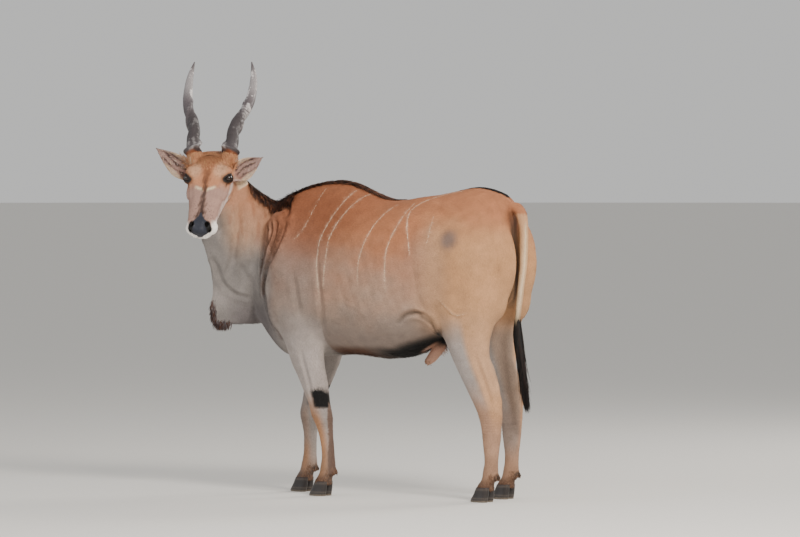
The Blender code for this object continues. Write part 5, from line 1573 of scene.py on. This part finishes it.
for name, side in SIDES.items():
    root_place = np.array(in_head(0.050, side * 0.094, 0.056))
    cuff = patch(middles, root_place, (0.064, 0.058, 0.064), 0.25) * (head_part > 0.5)
    roots = sow(850, cuff, 97 + side)
    ways = roots[0] - root_place + (np.array(CROWN) * 0.055 - np.array(ALONG) * 0.075)
    grow("horn_cuff_" + name, roots, ways, 0.026, 0.0018, lift=0.55, stray=0.28, rings=3,
         tint=("tawny", "rufous", "sand", "rufous"), tint_seed=101 + side, slot="face",
         seed=104 + side)

# %% Dewlap, belly and the insides of the legs
reach = (middles - np.array(DEWLAP_ROOT)) @ np.array(DEWLAP_WAY)
edge = (mx < -0.66) * ramp(0.235, 0.255, reach) * ramp(1.00, 0.92, mz) * (mz > 0.5)
under = (mx < -0.70) * ramp(0.885, 0.865, mz) * (mz > 0.5) * ramp(0.15, 0.21, reach)
roots = sow(1100, edge + 1.2 * under, 71)
ways = one_way(roots, *(np.array(DEWLAP_WAY) * 0.25 + np.array([0, 0, -1.0])))
grow("dewlap_tuft", roots, ways, 0.034, 0.0028, lift=0.16, hang=0.25, stray=0.16, rings=4,
     tint=("dark_brown", "slate", "brown", "black"), slot="hide_grey", seed=73)

belly = ramp(0.735, 0.705, mz - 0.35 * np.maximum(mx - 0.06, 0)) * (np.abs(mx + 0.02) < 0.34)
belly = belly * (facing[:, 2] < -0.35) * (np.abs(my) < 0.14) * (mz > 0.62)
roots = sow(2600, belly * furred, 74)
grow("belly_fringe", roots, one_way(roots, 0.7, 0.0, -0.6), 0.030, 0.0028, lift=0.32, hang=0.2,
     stray=0.2, rings=3, seed=75)

sheath_end = patch(middles, (0.152, 0, 0.672), (0.03, 0.03, 0.03), 0.4)
roots = sow(50, sheath_end, 76)
grow("sheath_hair", roots, one_way(roots, -0.7, 0, -0.7), 0.008, 0.0020, lift=0.8, hang=0.2,
     stray=0.3, rings=3, tint=("sand", "brown"), slot="sheath", seed=78)

# %% Feet and the backs of the legs
coronets = ramp(0.100, 0.085, mz) * ramp(0.060, 0.066, mz)
heels = ramp(0.15, 0.14, mz) * (facing[:, 0] > 0.2) * ramp(0.09, 0.1, mz)
roots = sow(3600, (coronets + heels) * not_head, 81)
grow("foot_hair", roots, one_way(roots, *DOWN_BACK), 0.012, 0.0018, lift=0.16, hang=0.1,
     stray=0.16, tint=("pastern", "brown", "pastern"), slot="hide_pale", seed=83)

# %% Hair in the ears and along their rims
for name in SIDES:
    along, wide, _, own = ear_shares(middles, name)
    way, across_way, opening = ear_turns(name)
    inner = own * (facing @ np.array(opening) > 0.1) * (along > 0.055) * (along < 0.22)
    inner = inner * (np.abs(wide) < 0.052)
    banded = 0.04 + 1.2 * (np.abs(wide) > 0.034)
    roots = sow(1000, inner * banded, 85 if name == "left" else 86)
    side = ear_shares(roots[0], name)[1][:, None]
    ways = np.array(way) * 0.75 - np.array(across_way) * np.sign(side) * 0.45
    ways = ways + np.array(opening) * 0.4
    grow("ear_hair_" + name, roots, ways, 0.015, 0.0013, lift=0.34, stray=0.2, rings=3,
         tint=("cream", "fawn", "pale_grey", "fawn"), slot="hide_pale", seed=88)

# %% [markdown]
# The tail ends in a long black brush that tapers to a point below the hocks. Its tufts are
# long and thin, start all round the core, and all aim near one point under it.

# %% Brush of the tail
core = (mx > 0.62) & (np.abs(my) < 0.05) & (mz < 0.90) & (mz > 0.60)
core &= np.abs(mx - 0.672) < 0.045
roots = sow(2600, core * 1.0, 91)
aim = np.array([0.722, 0.0, 0.470])
ways = unit(aim - roots[0])
around = roots[1] * (1, 1, 0.05)
around = unit(around - ways * (around * ways).sum(axis=1, keepdims=True))
roots = (roots[0], around, roots[2])
long = np.minimum(np.linalg.norm(aim - roots[0], axis=1) * 0.92, 0.27)
grow("tail_brush", roots, ways, long, 0.0036, lift=0.075, stray=0.022, curl=0.025, rings=4,
     tint=("black", "black", "dark_brown"), seed=93)

# %% [markdown]
# The skin now goes to its place in the frame and stands for the soft solids. It carries
# two more numbers for its finish: how far the hair hangs rather than lies, and where it
# is bare.

# %% Hand the skin over
def store_number(piece, name, values):
    """Keeps a number at each corner of a mesh."""
    layer = piece.data.attributes.new(name, "FLOAT", "POINT")
    layer.data.foreach_set("value", values.astype(np.float32))


def set_home(piece, finish, slot, *nodes):
    """Gives a finished piece its place, finish and the solids that it stands for."""
    use(piece)
    piece.location = HOME
    bpy.ops.object.transform_apply(location=True)
    bpy.ops.object.shade_smooth()
    piece.data.materials.clear()
    piece.data.materials.append(finish)
    piece.data.polygons.foreach_set("material_index", np.zeros(len(piece.data.polygons), np.int32))
    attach(piece, "root")
    if nodes:
        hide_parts(*nodes)


places = corners(skin)
falls = np.maximum(ramp(-0.55, -0.70, places[:, 0]), ramp(0.90, 0.75, places[:, 2]))
falls = np.maximum(falls, 0.8 * ramp(0.30, 0.50, places[:, 0]))
store_number(skin, "hanging", falls * (1 - headness(places)) + headness(places) * 0.8)
store_number(skin, "bare", bareness(places))
set_home(skin, hide_finish, "hide_tan", "torso", "neck", "dewlap", "head", "tail", "sheath",
         "ear_left", "ear_right", "foreleg_left", "foreleg_right", "hindleg_left",
         "hindleg_right")

# %% [markdown]
# An eland's horn grows as a cone with one keel that winds round it once or twice on the
# lower half, over fine growth rings, from a broad collar. The tip is smooth. It is a tube
# of many rings, each with the keel's bump turned a little further.

# %% Horns
HORN_PLACE = (0.062, 0.060)
HORN_LENGTH = 0.632
HORN_RADII = (0.039, 0.036, 0.034, 0.0325, 0.0305, 0.0285, 0.0270, 0.0245, 0.0205, 0.0140, 0.003)
HORN_SPREAD = (0.094, 0.098, 0.101, 0.099, 0.115, 0.147, 0.162, 0.1670, 0.168, 0.161, 0.149)
# Both horns lean to the animal's right, by this much at their tips.
HORN_LEAN = 0.018
HORN_RISE = math.radians(8)
HORN_TWIST = math.radians(480)
HORN_TWIST_END = 0.56
HORN_ROWS = 230
HORN_COUNT = 40
GROWTH_RINGS = 75


def along_horn(share, table):
    """A value of one of the two tables above, which have even steps from root to tip."""
    return float(np.interp(share, np.linspace(0, 1, len(table)), table))


def horn_point(share, side):
    """The middle of a horn at a share of its length."""
    spread = along_horn(share, HORN_SPREAD)
    back = -ALONG * math.cos(HORN_RISE) + CROWN * math.sin(HORN_RISE)
    bow = FACING * (0.020 * math.sin(2 * math.pi * share))
    start = in_head(HORN_PLACE[0], side * spread, HORN_PLACE[1])
    return start + back * HORN_LENGTH * share + bow - HEAD_LEFT * (HORN_LEAN * share)


def horn(side):
    """Rings of points of one horn, and each point's share, nearness to the keel and ring."""
    rings, marks = [], []
    draw = np.random.default_rng(90 + side)
    ring_depth = draw.uniform(0.3, 1.0, 90)
    for i in range(HORN_ROWS + 1):
        share = i / HORN_ROWS
        centre = sum((horn_point(share + step, side) for step in (-0.03, 0, 0.03)), Vector()) / 3
        if share > 0.96:
            centre = horn_point(share, side)
        way = (horn_point(share + 0.03, side) - horn_point(share - 0.03, side)).normalized()
        front = (CROWN - way * CROWN.dot(way)).normalized()
        outer = way.cross(front) * -side
        collar = 0.42 * math.exp(-(((share - 0.095) / 0.016) ** 2))
        radius = along_horn(share, HORN_RADII) * (1 + collar - 0.55 * ramp(0.082, 0.055, share))
        twist = math.radians(-60) + HORN_TWIST * min(share / HORN_TWIST_END, 1.15)
        keel = 0.52 * (1 - min(share / 0.70, 1.0)) ** 0.6 * min(share / 0.09, 1.0)
        age = share * GROWTH_RINGS
        wave = ring_depth[int(age)] * math.sin(math.pi * (age % 1)) * max(1 - share / 0.62, 0)
        points = []
        for j in range(HORN_COUNT):
            angle = 2 * math.pi * j / HORN_COUNT
            off = math.remainder(angle - twist, 2 * math.pi)
            ridge = math.exp(-((off / 0.40) ** 2))
            second = 0.35 * math.exp(-((math.remainder(off - 2.6, 2 * math.pi) / 0.5) ** 2))
            groove = 0.06 * math.exp(-((abs(off) - 0.75) / 0.25) ** 2)
            reach = radius * (0.92 + keel * (ridge + second * 0.5 - groove))
            reach += 0.0013 * wave * (0.4 + 0.8 * ridge)
            points.append(centre + front * reach * math.cos(angle)
                          + outer * reach * math.sin(angle))
            marks.append((share, ridge * min(keel * 3, 1), wave))
        rings.append(points)
    return rings, np.array(marks)


def horn_colour(points, marks):
    """Dark at the root, with painted shade in the grooves and a painted highlight on the keel."""
    share, ridge, wave = marks.T
    soft = waves(points, 0.09, 51) + 0.6 * waves(points, 0.025, 52)
    base = np.tile(COAT["horn"], (len(share), 1))
    base = blend(base, "horn_dark", 0.35 * ramp(0.22, 0.03, share + 0.03 * soft))
    base = blend(base, "horn_pale", 0.85 * ramp(0.42, 0.52, soft) * ramp(0.10, 0.2, share))
    pits = waves(points * (1, 1, 0.5), 0.014, 53)
    base = blend(base, "horn_dark", 0.45 * ramp(0.35, 0.7, pits) * ramp(0.62, 0.45, share))
    # Painted shade: darker off the keel on the lower half, in its grooves.
    base = blend(base, "horn_dark", (0.35 + 0.40 * ramp(0.12, 0.20, share)) * (1 - ridge)
                 * ramp(0.55, 0.35, share))
    # Painted highlight along the keel.
    base = blend(base, "horn_pale", 0.60 * ridge * ramp(-0.2, 0.5, soft))
    # Painted shade in the troughs between the growth rings.
    base = blend(base, "horn_dark", 0.45 * ramp(0.35, 0.0, wave) * ramp(0.6, 0.4, share))
    base = blend(base, "horn_pale", 0.35 * ramp(0.55, 0.75, share) * ramp(0.97, 0.85, share))
    base = blend(base, "horn_tip", 0.2 * ramp(0.88, 0.99, share))
    base = blend(base, "rust", ramp(0.080, 0.068, share))
    return base


for name, side in SIDES.items():
    rings, marks = horn(side)
    piece = tube("spiral_horn_" + name, rings)
    drawn = KDTree(len(marks))
    for number, point in enumerate(point for ring in rings for point in ring):
        drawn.insert(point, number)
    drawn.balance()
    order = corners(piece)
    marks = marks[[drawn.find(place)[1] for place in order]]
    store_colour(piece, horn_colour(order, marks))
    set_home(piece, horn_finish, "horn", "horn_" + name)

# %% [markdown]
# Each claw of the cloven hoof is a small boot: narrow at the coronet, broader on the floor,
# straight inside and rounded outside, with rings of growth. One boot is drawn for each
# place, because left and right mirror each other.

# %% Claws
CLAW_SPREAD = 0.0235
CLAW_RINGS = 0.0085
# Height, shift forward, half length, half width.
CLAW = ((0.0000, 0.020, 0.0550, 0.0210), (0.0025, 0.020, 0.0565, 0.0218),
        (0.0080, 0.020, 0.0570, 0.0220), (0.0400, 0.009, 0.0500, 0.0212),
        (0.0735, 0.000, 0.0420, 0.0200))


def claw(name, middle, lean):
    """One boot under the middle of a foot, on the side that lean gives."""
    rings = []
    for height, shift, half_length, half_width in smooth_rows(CLAW, 5):
        growth = 0.0007 * math.sin(height * 2 * math.pi / CLAW_RINGS) * (height > 0.01)
        centre = Vector((middle.x - shift, middle.y + lean * CLAW_SPREAD, max(height, 0)))
        toe = Vector((-1, -lean * 0.16, 0)).normalized()
        rings.append(section(centre, UPRIGHT.cross(toe), toe, half_width + growth,
                             half_length + growth, half_length * 0.8, (1.6, 2.4), 32))
    return tube(name, rings)


for leg, path in LEG_PATHS.items():
    middle = at_height(smooth_rows(path, 4), CORONET_HEIGHT)
    lean_out = -1 if leg.endswith("left") else 1
    for label, lean in (("outer", lean_out), ("inner", -lean_out)):
        piece = claw(f"hoof_{leg}_{label}", middle, lean)
        places = corners(piece)
        base = np.tile(COAT["claw"], (len(places), 1))
        height = places[:, 2]
        base = blend(base, "claw_pale",
                     0.5 * ramp(0.2, 0.9, np.sin(height * 2 * np.pi / CLAW_RINGS)))
        base = blend(base, "claw_dust", 0.55 * ramp(0.014, 0.0, height))
        base = blend(base, "dark_brown", 0.5 * ramp(0.055, 0.072, height))
        store_colour(piece, base)
        set_home(piece, hoof_finish, "hoof", f"claw_{leg}_{label}")

# %% [markdown]
# The eyes are large, dark and wet, with a wide slit pupil that lies along the face. The
# ball is a sphere whose front is raised a little into a cornea.

# %% Eyes
# Half the length and half the height of the pupil, and the edges of the iris.
PUPIL = (0.0105, 0.0055)
IRIS = (0.0175, 0.0150)

for name, side in SIDES.items():
    eye = on_side(EYE_PLACE, side)
    piece = ball(eye, (EYE_RADIUS,) * 3, gaze_turn(side), 56)
    piece.name = "eyeball_" + name
    fore, up, out = eye_shares(corners(piece), side)
    off = np.sqrt(fore**2 + up**2)
    raised = 0.0013 * np.exp(-((off / 0.012) ** 2)) * (out > 0)
    move_corners(piece, corners(piece) + raised[:, None] * np.array(gaze_turn(side).col[2]))
    base = np.tile(COAT["eye_rim"], (len(fore), 1))
    base = blend(base, "iris", ramp(*IRIS, off) * (out > 0))
    pupil = ((fore / PUPIL[0]) ** 2 + (up / PUPIL[1]) ** 2) ** 0.5
    base = blend(base, "pupil", ramp(1.15, 0.9, pupil) * (out > 0))
    store_colour(piece, base)
    set_home(piece, eye_finish, "eye", "eye_" + name)

# %% [markdown]
# A still photograph needs a quiet room. The floor is one pale disc, so wide that its rim
# lies far behind the animal, and three soft lights stand in for a bright overcast sky.

# %% Studio floor, lights and camera
FLOOR_RADIUS = 160
# The floor lies half a millimetre under the claws, so that the two never flicker.
FLOOR_HEIGHT = -0.0005
deselect()
bpy.ops.mesh.primitive_circle_add(vertices=128, radius=FLOOR_RADIUS, fill_type="NGON",
                                  location=(0, 0, FLOOR_HEIGHT))
floor = bpy.context.object
floor.name = "studio_floor"
floor.data.materials.append(paper_finish)


def soft_light(name, place, target, size, power, colour):
    """A square soft box that shines at a point."""
    deselect()
    bpy.ops.object.light_add(type="AREA", location=place)
    light = bpy.context.object
    light.name = name
    light.data.shape = "SQUARE"
    light.data.size = size
    light.data.energy = power
    light.data.color = colour
    light.rotation_euler = (Vector(target) - Vector(place)).to_track_quat("-Z", "Y").to_euler()


soft_light("key_box", (6.0, -4.2, 5.6), (0, 0, 1.1), 2.2, 820, (1.0, 0.95, 0.88))
soft_light("fill_box", (-5.0, -7.5, 3.5), (-0.3, 0, 1.3), 4.5, 190, (0.93, 0.96, 1.0))
soft_light("rim_box", (3.0, 6.5, 5.0), (0, 0, 1.2), 3.0, 300, (1.0, 0.95, 0.88))
world = bpy.data.worlds.new("pale_room")
bpy.context.scene.world = world
world.use_nodes = True
world.node_tree.nodes["Background"].inputs["Color"].default_value = (0.84, 0.84, 0.83, 1)
world.node_tree.nodes["Background"].inputs["Strength"].default_value = 0.74

# A long lens from far off, a little above the animal's middle and from behind its shoulder.
LENS_TURN = math.radians(30)
LENS_AWAY = 25.0
LENS_RISE = 0.56
AIM_HEIGHT = 1.1425
VIEW_WIDTH = 4.0
SENSOR_WIDTH = 36
deselect()
bpy.ops.object.camera_add()
camera = bpy.context.object
camera.name = "photo_camera"
aim = Vector((HOME.x, HOME.y, AIM_HEIGHT))
camera.location = aim + Vector(
    (LENS_AWAY * math.sin(LENS_TURN), -LENS_AWAY * math.cos(LENS_TURN), LENS_RISE)
)
camera.rotation_euler = (aim - camera.location).to_track_quat("-Z", "Y").to_euler()
camera.data.sensor_width = SENSOR_WIDTH
camera.data.lens = SENSOR_WIDTH * (aim - camera.location).length / VIEW_WIDTH
camera.data.clip_end = 200
bpy.context.scene.camera = camera
